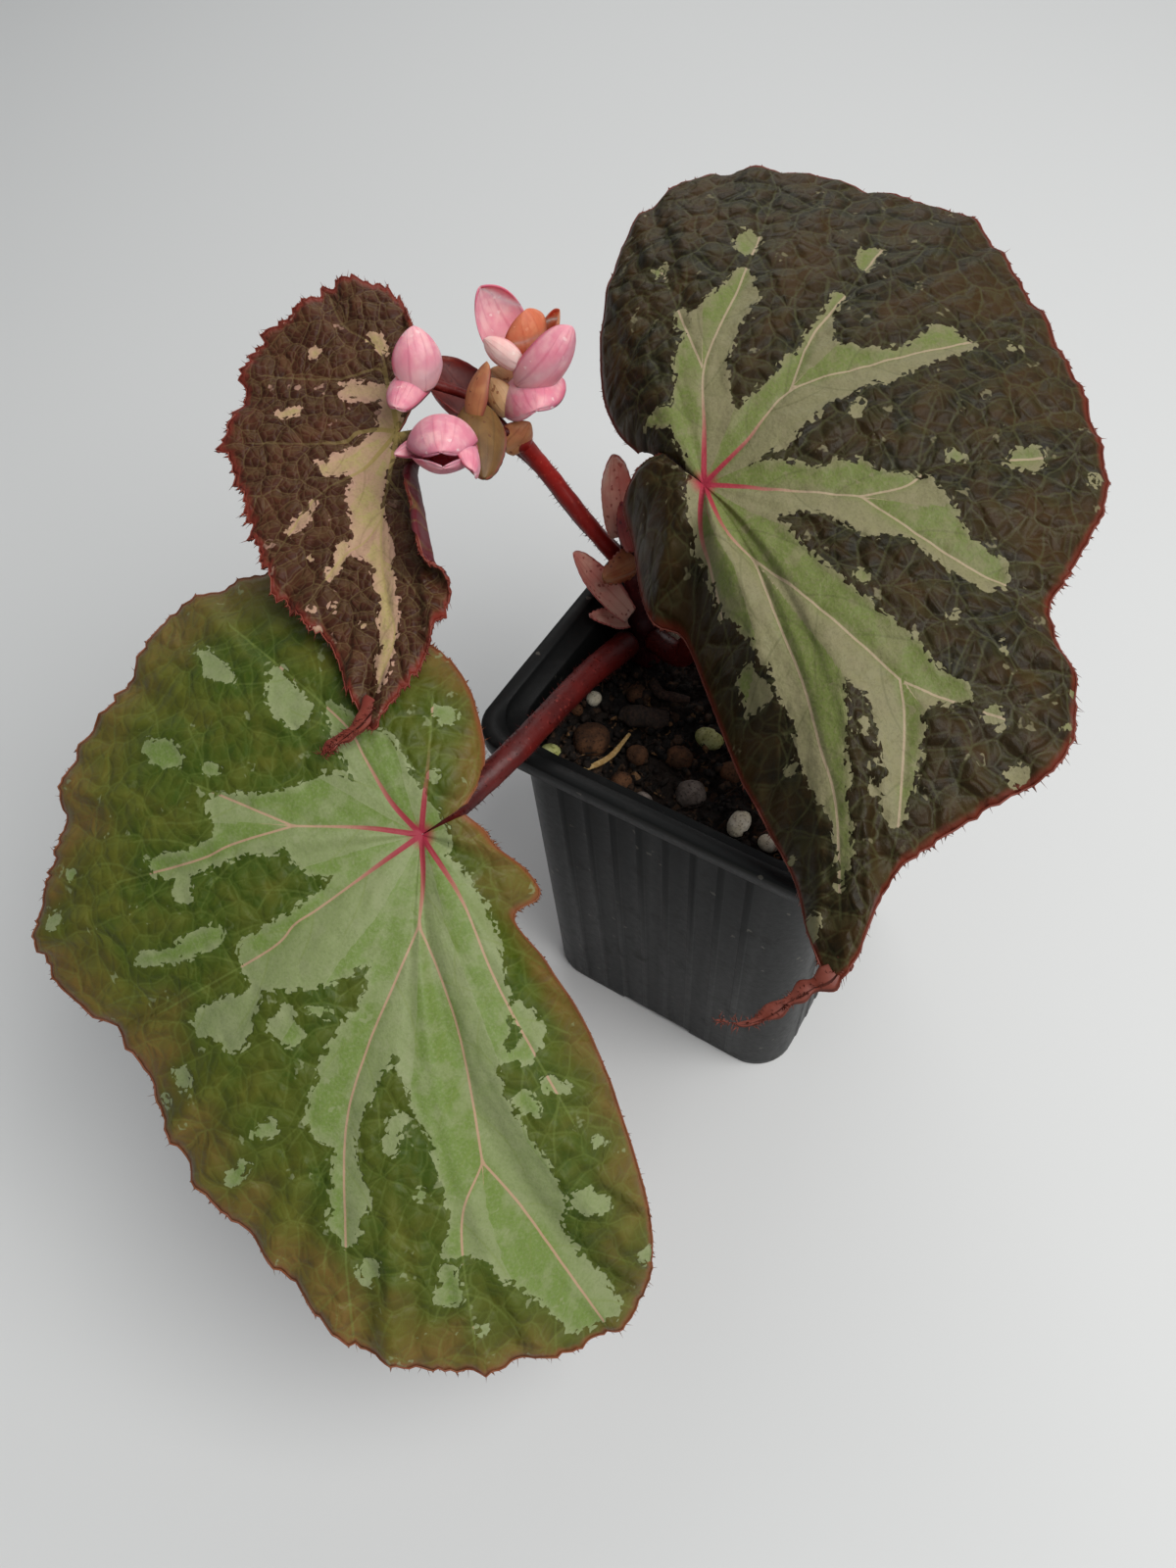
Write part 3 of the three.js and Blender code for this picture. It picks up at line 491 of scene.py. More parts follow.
@dataclass(frozen=True)
class LeafFinish:
    """Colours of one leaf, from its dark panels to its pale arms.

    rim_width and cell are the widths of the red edge and of one pucker, in millimetres, and the
    brown of the margin reaches further in with a greater brown. The side number, 1 or -1, picks
    the side of the main veins where the arms get a painted silvery sheen, and sheen is how
    strongly it shows. puff also sets how strongly light and shade are painted on the puckers.
    gloss is the shader's specular level, and the other numbers say how strongly a feature shows,
    from 0 to 1.
    """

    slot: str
    dark: str
    deep: str
    warm: str
    rim: str
    fresh: str
    silver: str
    line: str
    vein: str
    star: str
    under: str
    margin: str
    rim_width: float = 2.0
    net: float = 0.3
    sheen_side: float = 1.0
    sheen: float = 0.5
    gloss: float = 0.2
    puff: float = 0.5
    cell: float = 3.6
    brown: float = 20.0
    twigs: float = 0.4

    def top(self, name: str) -> bpy.types.Material:
        """The upper face: dark puckered panels with painted light and shade, pale jagged arms
        with a painted sheen by the main veins, veins and specks.

        Args:
            name: the leaf's name.

        Returns:
            The material.
        """
        make = Recipe(f"{name}_top", Specular_IOR_Level=self.gloss)
        where = make.flat()
        bent = make.bent(where, 9, 4)
        broad = make.cloud(where, 13, 2)
        patchy = make.cloud(where, 3.4, 3)
        fine = make.cloud(where, 0.45, 2)
        arm = make.field("pale")
        edge = make.field("edge")
        core = make.field("core")
        vein = make.field("vein")
        twig = make.math("ABSOLUTE", make.field("twig"))
        dome = make.web(bent, self.cell)
        small = make.web(bent, 0.42 * self.cell)
        # Painted light and shade: slope is positive on one flank of each pucker and negative on
        # the other.
        slope = make.web(bent, self.cell, (0.45, -0.1)) - make.web(bent, self.cell, (-0.45, 0.1))
        panel = make.mix(make.step(broad + 0.5 * patchy, 0.62, 0.88), tint(self.dark),
                         tint(self.deep))
        # Partly the leaf's own tone and partly painted light: pucker crowns are made lighter
        # brown than the hollows between them.
        panel = make.mix(self.puff * make.step(dome, 0.12, 0.36), panel, tint(self.deep))
        panel = make.mix(make.step(edge + 26 * broad + 8 * patchy, self.brown + 8,
                                   self.brown - 8), panel, tint(self.warm))
        panel = make.mix(0.6 * make.step(arm + 7 * broad, -1, 3.5), panel, tint(self.dark))
        # Painted highlight in the line colour on the lit upper rims of the puckers, and painted
        # shade that darkens their lower flanks.
        panel = make.mix(0.5 * self.puff * make.step(slope, 0.03, 0.24), panel, tint(self.line))
        panel = make.mix(self.puff * make.step(slope, -0.03, -0.24), panel,
                         (0.45, 0.45, 0.4, 1.0), "MULTIPLY")
        panel = make.mix(self.net * make.step(dome + 0.04 * fine, 0.07, 0.03), panel,
                         tint(self.line))
        panel = make.mix(0.5 * self.net * make.step(small, 0.1, 0.03), panel, tint(self.line))
        panel = make.mix(self.twigs * make.step(twig, 0.26, 0.08), panel, tint(self.line))
        panel = make.mix(0.3 * make.step(fine, 0.5, 0.75), panel, tint(self.deep))
        border = make.step(edge + self.rim_width * patchy, 2.1 * self.rim_width,
                           0.6 * self.rim_width)
        panel = make.mix(border, panel, tint(self.rim))
        ragged = 2.4 * (make.cloud(where, 3.2, 4, 0.6) - 0.5)
        ragged = ragged + 1.1 * (make.chance(where, 0.8) - 0.5)
        inside = make.step(arm + ragged, -0.06, 0.1)
        # Painted sheen: the pale arms turn more silvery on one side of the main veins.
        side = make.step(vein * self.sheen_side + 4.5 * broad, 1.2, 3.4)
        pale = make.mix(self.sheen * side, tint(self.fresh), tint(self.silver))
        pale = make.mix(0.8 * make.step(arm + 2 * patchy, 2.2, 0.6), pale, tint(self.silver))
        pale = make.mix(0.5 * make.step(patchy + 0.5 * broad, 0.72, 0.9), pale,
                        tint(self.silver))
        pale = make.mix(0.4 * make.step(fine, 0.42, 0.72), pale, tint(self.silver))
        pale = make.mix(0.12 * make.step(make.chance(where, 0.3), 0.55, 0.95), pale,
                        tint(self.dark))
        pale = make.mix(0.3 * make.step(twig, 0.24, 0.06), pale, tint(self.line))
        colour = make.mix(inside, panel, pale)
        specks = make.step(make.chance(where, 1.5), 0.965, 0.972)
        specks = specks * make.step(make.cloud(where, 1.1, 1), 0.5, 0.62)
        colour = make.mix(0.6 * specks, colour, tint(self.silver))
        close = make.step(core, 15, 2)
        thin = make.step(make.math("ABSOLUTE", vein) - 0.24 * close, 0.22, 0.1)
        thin = thin * make.step(make.field("near"), 1.6, 1.2)
        thread = make.mix(inside, tint(self.line), tint(self.vein))
        thread = make.mix(make.step(core, 16, 4), thread, tint(self.star))
        colour = make.mix(thin * (0.35 + 0.4 * inside + 0.2 * close), colour, thread)
        colour = make.mix(make.step(core + 1.5 * patchy, 3.4, 1.2), colour, tint(self.star))
        flat = 1 - 0.75 * inside
        height = flat * make.step(dome, 0.0, 0.3) + 0.35 * flat * make.step(small, 0.0, 0.3)
        make.bump(height + 0.25 * fine, 0.9 * self.puff, 0.75)
        return make.wear(Base_Color=colour, Roughness=0.36 + 0.3 * patchy)

    def back(self, name: str) -> bpy.types.Material:
        """The underside: red, paler along the borders of its puckers.

        Args:
            name: the leaf's name.

        Returns:
            The material.
        """
        make = Recipe(f"{name}_back", Roughness=0.55, Specular_IOR_Level=0.3)
        where = make.flat()
        pillow = make.field("pillow")
        patchy = make.cloud(where, 4, 3)
        colour = make.mix(0.5 * patchy, tint(self.under), tint(self.rim))
        colour = make.mix(0.35 * make.step(pillow, 0.2, 0.02), colour, tint(self.star))
        make.bump(make.step(pillow, 0.3, 0.0), 0.3, 0.6)
        return make.wear(Base_Color=colour)

    def rim_skin(self, name: str) -> bpy.types.Material:
        """The toothed margin, the drawn-out tip and the hairs.

        Args:
            name: the name of what wears it.

        Returns:
            The material.
        """
        make = Recipe(f"{name}_margin", Roughness=0.5, Specular_IOR_Level=0.3)
        patchy = make.cloud(make.solid(), 2.5, 3)
        colour = make.mix(make.step(patchy, 0.35, 0.7), tint(self.margin), tint(self.rim))
        return make.wear(Base_Color=colour)


@dataclass
class Leaf:
    """One lopsided leaf: ribs from its joint to its margin, as in the solids.

    A rib is its heading in degrees, its reach, its height at the margin, how far its middle is
    raised and how far it bows to the side. The points of veins lie in the leaf's own plane, and
    so do those of arms, each with the arm's half width there. curl is where the rolled stretch
    of the margin starts and ends, as shares of the way round, how wide it is, and its radius.
    """

    name: str
    place: Point
    heading: float
    slope: float
    roll: float
    ribs: list[tuple]
    tail: list[Point]
    veins: list[list[tuple[int, int]]]
    arms: list[list[tuple[float, float, float]]]
    finish: LeafFinish
    columns: int = 520
    rings: int = 76
    blister: float = 0.5
    cell_size: float = 5.0
    lobe: float = 0.7
    lobe_pitch: float = 7.0
    tooth: float = 0.45
    tooth_pitch: float = 2.3
    frill: float = 0.5
    curl: tuple[float, float, float, float] | None = None
    bead: float = 0.2
    spikes: float = 0.3
    seed: float = 0.0
    thickness: float = 0.4
    full_reach: float = 40.0
    spike_size: tuple[float, float] = (0.9, 0.26)
    hair_size: tuple[float, float] = (1.3, 0.08)

    def frame(self) -> Matrix:
        """Where the leaf's own frame lies, in millimetres."""
        turn = Euler([math.radians(a) for a in (self.roll, self.slope, self.heading)], "XYZ")
        return Matrix.Translation(self.place) @ turn.to_matrix().to_4x4()

    def sheet(self) -> tuple[np.ndarray, np.ndarray, np.ndarray]:
        """The smooth blade.

        Returns:
            Its points by column and ring, how far out each ring is, and each rib's reach.
        """
        ribs = np.array(self.ribs, float)
        turn = np.radians(ribs[:, 0])
        rim = np.stack([ribs[:, 1] * np.cos(turn), ribs[:, 1] * np.sin(turn), ribs[:, 2]], 1)
        hump = np.stack([-ribs[:, 4] * np.sin(turn), ribs[:, 4] * np.cos(turn), ribs[:, 3]], 1)
        across = np.linspace(0, 1, self.columns + 1)
        rim = spline(rim, across)[:, None, :]
        hump = spline(hump, across)[:, None, :]
        out = (np.arange(self.rings + 1) / self.rings) ** 0.85
        t = out[None, :, None]
        reach = np.linalg.norm(rim, axis=2)
        run = np.concatenate([[0], np.cumsum(np.linalg.norm(np.diff(rim[:, 0], axis=0), axis=1))])
        full = np.minimum(1, reach[:, 0] / self.full_reach) ** 2
        ahead = np.gradient(rim[:, 0], axis=0)
        slant = (ahead * rim[:, 0]).sum(axis=1) / (np.linalg.norm(ahead, axis=1) * reach[:, 0])
        facing = full * np.sqrt(np.clip(1 - slant ** 2, 0, 1))
        teeth = self.lobe * self.saw(run, self.lobe_pitch, 1.6)
        teeth += self.tooth * self.saw(run, self.tooth_pitch, 1.2)
        teeth = (teeth * facing)[:, None, None]
        wave = 4 * t * (1 - t)
        points = rim * (t + teeth * t ** 12 / reach[:, :, None])
        points[..., 2] = rim[..., 2] * out[None, :] ** 1.5
        ripple = np.sin(run * 0.52 + self.seed) + 0.7 * np.sin(run * 0.83 + 2 * self.seed)
        points[..., 2] += self.frill * (ripple * full)[:, None] * out[None, :] ** 5
        return points + hump * wave, out, reach[:, 0]

    def saw(self, run: np.ndarray, pitch: float, bite: float) -> np.ndarray:
        """Uneven teeth along the margin, that lean towards the tip.

        Args:
            run: how far along the margin each place is, in millimetres.
            pitch: how far apart the teeth are, in millimetres.
            bite: how pointed they are.

        Returns:
            How far out the tooth is at each place, from 0 to 1.
        """
        phase = run / pitch + 0.8 * np.sin(run * 0.13 + self.seed) + 0.3 * np.sin(run * 0.41)
        size = 0.62 + 0.38 * np.sin(phase * 2.1 + self.seed)
        return (1 - np.modf(np.abs(phase))[0]) ** bite * size

    def roll_in(self, points: np.ndarray) -> np.ndarray:
        """Rolls a stretch of the margin up and over.

        Args:
            points: the blade's points by column and ring.

        Returns:
            The points, with those near that stretch wound round a small radius.
        """
        first, last, width, radius = self.curl
        lo, hi = int(first * self.columns), int(last * self.columns)
        line = points[lo:hi + 1, -1, :2]
        ahead = np.gradient(line, axis=0)
        ahead /= np.linalg.norm(ahead, axis=1, keepdims=True)
        outward = np.stack([ahead[:, 1], -ahead[:, 0]], 1)
        outward *= np.sign((outward * line).sum())
        share = np.linspace(0, 1, len(line))
        strip = width * np.clip(4 * share, 0, 1) * np.clip(4 * (1 - share), 0, 1)
        flat = points[..., :2].reshape(-1, 2)
        gaps = np.linalg.norm(flat[:, None] - line[None], axis=2)
        nearest = gaps.argmin(axis=1)
        depth = ((line - flat[:, None])[np.arange(len(flat)), nearest]
                 * outward[nearest]).sum(axis=1)
        excess = np.clip(strip[nearest] - np.abs(depth), 0, None)
        excess[gaps.min(axis=1) > width + 0.5] = 0
        shift = radius * np.sin(excess / radius) - excess
        rolled = points.reshape(-1, 3).copy()
        rolled[:, :2] += outward[nearest] * shift[:, None]
        rolled[:, 2] += radius * (1 - np.cos(excess / radius))
        return rolled.reshape(points.shape)

    def main_veins(self) -> list[np.ndarray]:
        """The main veins.

        Returns:
            Smooth lines in the leaf's own plane, one point a row.
        """
        lines = []
        for vein in self.veins:
            route = np.array([(*spot, 0) for spot in vein], float)
            lines.append(spline(route, np.linspace(0, 1, 8 * len(route)))[:, :2])
        return lines

    def side_veins(self, mains: list[np.ndarray]) -> list[np.ndarray]:
        """Smaller veins to either side of the main ones, at uneven steps.

        Args:
            mains: the main veins.

        Returns:
            The smaller veins, as lines in the leaf's own plane.
        """
        draw = random.Random(int(self.seed * 10) + 5)
        lines = []
        for main in mains:
            run = np.concatenate([[0], np.cumsum(np.hypot(*np.diff(main, axis=0).T))])
            side = 1
            at = 8.0
            while at < run[-1] - 2:
                k = int(np.searchsorted(run, at))
                way = main[k] - main[k - 1]
                heading = math.atan2(way[1], way[0]) + side * draw.uniform(0.7, 1.0)
                length = draw.uniform(6, 13)
                spots = []
                spot = main[k].copy()
                bend = draw.uniform(0.03, 0.12)
                for _ in range(8):
                    spots.append(spot.copy())
                    spot += np.array([math.cos(heading), math.sin(heading)]) * length / 7
                    heading -= side * bend
                lines.append(np.array(spots))
                side = -side
                at += draw.uniform(3.5, 6.5)
        return lines

    def vein_fields(self, lines: list[np.ndarray], x: np.ndarray,
                    y: np.ndarray) -> tuple[np.ndarray, np.ndarray]:
        """How far places are to the side of the nearest vein.

        Args:
            lines: the veins.
            x: places in the leaf's own plane.
            y: the same.

        Returns:
            The distances, without and with a sign for the side.
        """
        near = np.full(x.shape, FAR)
        signed = np.full(x.shape, FAR)
        for line in lines:
            for (ax, ay), (bx, by) in zip(line[:-1], line[1:]):
                dx, dy = bx - ax, by - ay
                share = ((x - ax) * dx + (y - ay) * dy) / (dx * dx + dy * dy + 1e-9)
                share = np.clip(share, 0, 1)
                ox, oy = x - ax - share * dx, y - ay - share * dy
                far = np.hypot(ox, oy)
                closer = far < near
                side = np.where(dx * oy - dy * ox > 0, far, -far)
                near = np.where(closer, far, near)
                signed = np.where(closer, side, signed)
        return near, signed

    def arm_field(self, x: np.ndarray, y: np.ndarray) -> np.ndarray:
        """How deep places lie inside the pale arms.

        Args:
            x: places in the leaf's own plane.
            y: the same.

        Returns:
            The depths in millimetres, negative outside the arms.
        """
        depth = np.full(x.shape, -30.0)
        for arm in self.arms:
            ends = arm if len(arm) > 1 else arm * 2
            for (ax, ay, ah), (bx, by, bh) in zip(ends[:-1], ends[1:]):
                dx, dy = bx - ax, by - ay
                share = ((x - ax) * dx + (y - ay) * dy) / (dx * dx + dy * dy + 1e-9)
                share = np.clip(share, 0, 1)
                far = np.hypot(x - ax - share * dx, y - ay - share * dy)
                depth = np.maximum(depth, ah + share * (bh - ah) - far)
        return depth

    def build(self) -> list[bpy.types.Object]:
        """Builds the blade and its margin, and returns both pieces."""
        points, out, reach = self.sheet()
        x, y = points[..., 0], points[..., 1]
        mains = self.main_veins()
        near, vein = self.vein_fields(mains, x, y)
        far, twig = self.vein_fields(self.side_veins(mains), x, y)
        warp = 1.7 * np.sin(x * 0.19 + self.seed + 0.8 * np.sin(y * 0.23))
        weft = 1.5 * np.sin(y * 0.24 + 1.3 + 0.9 * np.sin(x * 0.17))
        pillow = cell_field(x + warp, y + weft, self.cell_size, self.seed)
        dimple = cell_field(x - weft, y + warp, 0.45 * self.cell_size, self.seed + 3)
        pale = self.arm_field(x, y)
        edge = (1 - out)[None, :] * reach[:, None]
        core = np.hypot(x, y)
        fields = {"pale": pale, "vein": vein, "near": near, "twig": twig, "pillow": pillow,
                  "edge": edge, "core": core}
        quiet = np.clip(1 - 0.7 * np.clip(pale / 1.5, 0, 1), 0, 1)
        calm = np.clip(core / 8, 0, 1) * np.clip(edge / 1.5, 0, 1)
        rise = self.blister * quiet * (0.75 * np.clip(pillow / 0.36, 0, 1) ** 0.8
                                       + 0.3 * np.clip(dimple / 0.4, 0, 1))
        rise += 0.8 * self.blister * (1 - np.exp(-(near / 2.4) ** 2))
        rise += 0.35 * self.blister * (1 - np.exp(-(far / 1.2) ** 2))
        rise -= 0.2 * np.exp(-(near / 0.5) ** 2)
        points[..., 2] += rise * calm
        if self.curl:
            points = self.roll_in(points)
        return [self.blade(points, fields), self.margin(points, reach)]

    def blade(self, points: np.ndarray, fields: dict[str, np.ndarray]) -> bpy.types.Object:
        """Lays a grid on the puckered blade and gives it a thickness.

        Args:
            points: the blade's points by column and ring.
            fields: the numbers that its material reads, for the same points.

        Returns:
            The piece.
        """
        work = Workpiece()
        mesh = work.mesh
        bmesh.ops.create_grid(mesh, x_segments=self.columns, y_segments=self.rings, size=0.5)
        layers = {key: mesh.verts.layers.float.new(key) for key in fields}
        flat = mesh.loops.layers.uv.new("sheet")
        place = self.frame()
        turn = np.array(place.to_3x3())
        world = (points @ turn.T + np.array(place.translation)) * MM
        spots = {}
        for vert in mesh.verts:
            i = round((vert.co.x + 0.5) * self.columns)
            k = round((vert.co.y + 0.5) * self.rings)
            spots[vert] = (points[i, k, 0] * MM, points[i, k, 1] * MM)
            vert.co = world[i, k]
            for key, layer in layers.items():
                vert[layer] = float(fields[key][i, k])
        for face in mesh.faces:
            for corner in face.loops:
                corner[flat].uv = spots[corner.vert]
        bmesh.ops.remove_doubles(mesh, verts=mesh.verts, dist=0.002 * MM)
        up = place.to_3x3() @ Vector((0, 0, 1))
        mesh.normal_update()
        if sum(face.normal.dot(up) for face in mesh.faces) < 0:
            bmesh.ops.reverse_faces(mesh, faces=mesh.faces)
        materials = [self.finish.top(self.name), self.finish.back(self.name),
                     self.finish.rim_skin(self.name)]
        piece = work.settle(f"{self.name}_blade", materials, [self.name])
        wall = piece.modifiers.new("thickness", "SOLIDIFY")
        wall.thickness = self.thickness * MM
        wall.offset = -1
        wall.material_offset = 1
        wall.material_offset_rim = 2
        return piece

    def margin(self, points: np.ndarray, reach: np.ndarray) -> bpy.types.Object:
        """The thin bead round the blade, its pointed teeth and hairs, and the drawn-out tip.

        Args:
            points: the blade's points by column and ring.
            reach: how far from the joint each place of the margin is.

        Returns:
            The piece.
        """
        work = Workpiece()
        draw = random.Random(11)
        place = self.frame()
        rim = [place @ Vector(p) for p in points[:, -1]]
        inner = [place @ Vector(p) for p in points[:, -4]]
        loops = []
        for k, (spot, inward) in enumerate(zip(rim, inner)):
            ahead = (rim[min(k + 1, len(rim) - 1)] - rim[max(k - 1, 0)]).normalized()
            outward = (spot - inward).normalized()
            outward = (outward - ahead * outward.dot(ahead)).normalized()
            up = ahead.cross(outward)
            thick = self.bead * (0.6 + 0.4 * min(1, reach[k] / 30))
            loops.append([(spot + (outward * math.cos(a) + up * math.sin(a)) * thick) * MM
                          for a in (2 * math.pi * n / 6 for n in range(6))])
        work.skin(loops)
        roots = [(rim[k], (rim[k] - inner[k]).normalized()) for k in range(2, len(rim) - 2)
                 if reach[k] > 8]
        spiked = [root for root in roots if draw.random() < self.spikes]
        work.hairs(spiked, *self.spike_size, draw)
        hairy = [root for root in roots if draw.random() < 0.5]
        work.hairs(hairy, *self.hair_size, draw)
        if self.tail:
            line = work.tube(self.tail, TAIL_RADII, 60, 14, 0.34, 0.9)
            spikes = []
            for spot in line[2:-1]:
                for _ in range(5):
                    way = Vector([draw.gauss(0, 1) for _ in range(3)]).normalized()
                    spikes.append((Vector(spot) + way * 0.6, way))
            work.hairs(spikes, 1.0, 0.1, draw)
        return work.settle(f"{self.name}_margin", [self.finish.rim_skin(f"{self.name}_bead")],
                           [self.name])


TAIL_RADII = [1.9, 1.5, 1.3, 1.0, 0.7, 0.15]

LEFT_LEAF = dict(
    name="leaf_left", place=(-24.4, -52.5, 90), heading=-34, slope=29, roll=8.5,
    ribs=[
        (92, 7, 0.6, 0.2, 0), (72, 9, -0.5, 0.8, 0), (58, 11, -1, 1, 0),
        (48, 16, -5, 1, 0), (39, 19, -7, 1, 0), (24, 18, -6, 2, 0),
        (20, 27, -10, 3, -1), (16, 40, -12, 4, -2), (10, 58, -13, 4, -5),
        (6, 71, -14, 4, -7), (0, 81, -19, 4, -8), (-8, 79, -10, 4, -6), (-19, 77, -5, 3, -3),
        (-30, 73, -3, 3, 0), (-42, 64, -3, 3, 0), (-58, 58, -3, 4, 0), (-76, 53, -6, 4, 0),
        (-92, 60, -9, 4, 0), (-102, 60, -9, 4, 0), (-111, 56, -9, 5, 0),
        (-123, 57, -11, 5, 0), (-139, 54, -13, 5, 0), (-152, 56, -16, 6, 0),
        (-169, 51, -16, 6, 0), (-182, 43, -13, 5, 0), (-199, 31, -8, 4, 0),
        (-214, 25, -6, 3, 0), (-230, 18, -3, 2, 0), (-245, 13, -2, 1, 0), (-258, 8, 0, 0, 0),
    ],
    tail=[],
    veins=[
        [(0, 0), (-4, -7), (-8, -16)], [(-8, -16), (-9, -25), (-9, -31), (-11, -44)],
        [(-8, -16), (-12, -20), (-20, -28)],
        [(0, 0), (-6, -2), (-13, -3), (-19, -4), (-31, -10), (-42, -16)],
        [(0, 0), (4, -16), (5, -21), (7, -26), (9, -44)], [(0, 0), (6, -2), (12, -5)],
        [(12, -5), (19, -12), (25, -18), (34, -25), (48, -31), (62, -36)],
        [(12, -5), (20, -5), (30, -6), (47, -10)], [(47, -10), (54, -16), (71, -21)],
        [(47, -10), (55, -8), (67, -6), (79, -4)], [(0, 0), (11, 2), (25, 2), (48, 4)],
        [(0, 0), (-9, 5), (-18, 9)],
    ],
    arms=[
        [(-1, 0, 3.5), (-6, -1, 4), (-13, -2, 4), (-18, -4, 2.5), (-22, -5, 1)],
        [(-1, 0, 4), (-3, -6, 7), (-6, -11, 7.5), (-9, -16, 4.5), (-11, -23, 4.5),
         (-15, -25, 2)],
        [(-9, -23, 2.5), (-9, -28, 2), (-9, -33, 2), (-10, -36, 2), (-12, -38, 0.5)],
        [(-9, -33, 1.5), (-6, -35, 1.5), (-4, -34, 0.5)],
        [(1, 0, 4), (5, -8, 6.5), (8, -14, 6.5), (9, -20, 6), (8, -26, 4.5), (6, -29, 1.5)],
        [(5, -2, 3), (16, -6, 6), (20, -11, 4), (26, -20, 4.5), (32, -26, 4), (36, -26, 1.5),
         (39, -27, 2), (43, -28, 3), (46, -30, 2.5), (49, -31, 1)],
        [(6, -3, 4.5), (19, -7, 8), (28, -7, 8), (34, -9, 6.5), (41, -9, 6), (48, -9, 7),
         (55, -9, 8), (61, -9, 5.5), (68, -7, 4), (75, -5, 4), (78, -2, 1.5)],
        [(54, -13, 4.5), (56, -17, 2.5)],
        [(3, 0, 2), (8, 1, 3), (13, 1, 4), (18, 1, 3.5), (24, 0, 3.5), (30, -1, 2.5)],
        [(-31, -11, 1), (-27, -11, 2.5), (-23, -10, 2), (-23, -8, 1)],
        [(-39, -21, 1), (-36, -20, 2), (-33, -18, 1)],
        [(-28, -33, 1.5), (-26, -31, 2.5), (-24, -29, 1)], [(-21, -25, 1), (-20, -24, 1)],
        [(-16, 9, 1), (-15, 10, 1.5)], [(-7, 5, 0.8)],
        [(13, -39, 2), (14, -34, 3.5), (12, -30, 1.5)], [(16, -35, 2.5)],
        [(1, -45, 0.8), (2, -39, 1.5), (2, -32, 1.5)],
        [(17, -29, 1), (19, -27, 1.8), (16, -26, 1)], [(17, -23, 0.8), (18, -21, 0.8)],
        [(19, -45, 1.6)], [(21, -49, 1)], [(30, -37, 1), (30, -35, 1.2)],
        [(35, -43, 1), (34, -41, 1)], [(36, -18, 1.2), (39, -20, 1.2)], [(47, -19, 1)],
        [(54, -30, 1.9)], [(59, -20, 1.2), (62, -21, 2)], [(69, -19, 1)],
        [(29, 3, 1.5), (33, 4, 1.5), (35, 2, 1.5), (34, -1, 1)],
        [(41, -1, 1.5), (43, 0, 1)], [(41, 3, 1.2), (43, 5, 0.8)], [(52, 6, 1.2)],
        [(59, 1, 2), (61, 3, 1.5)], [(72, 6, 1.4)], [(-15, -51, 1)], [(-10, -56, 1.4)],
    ],
)

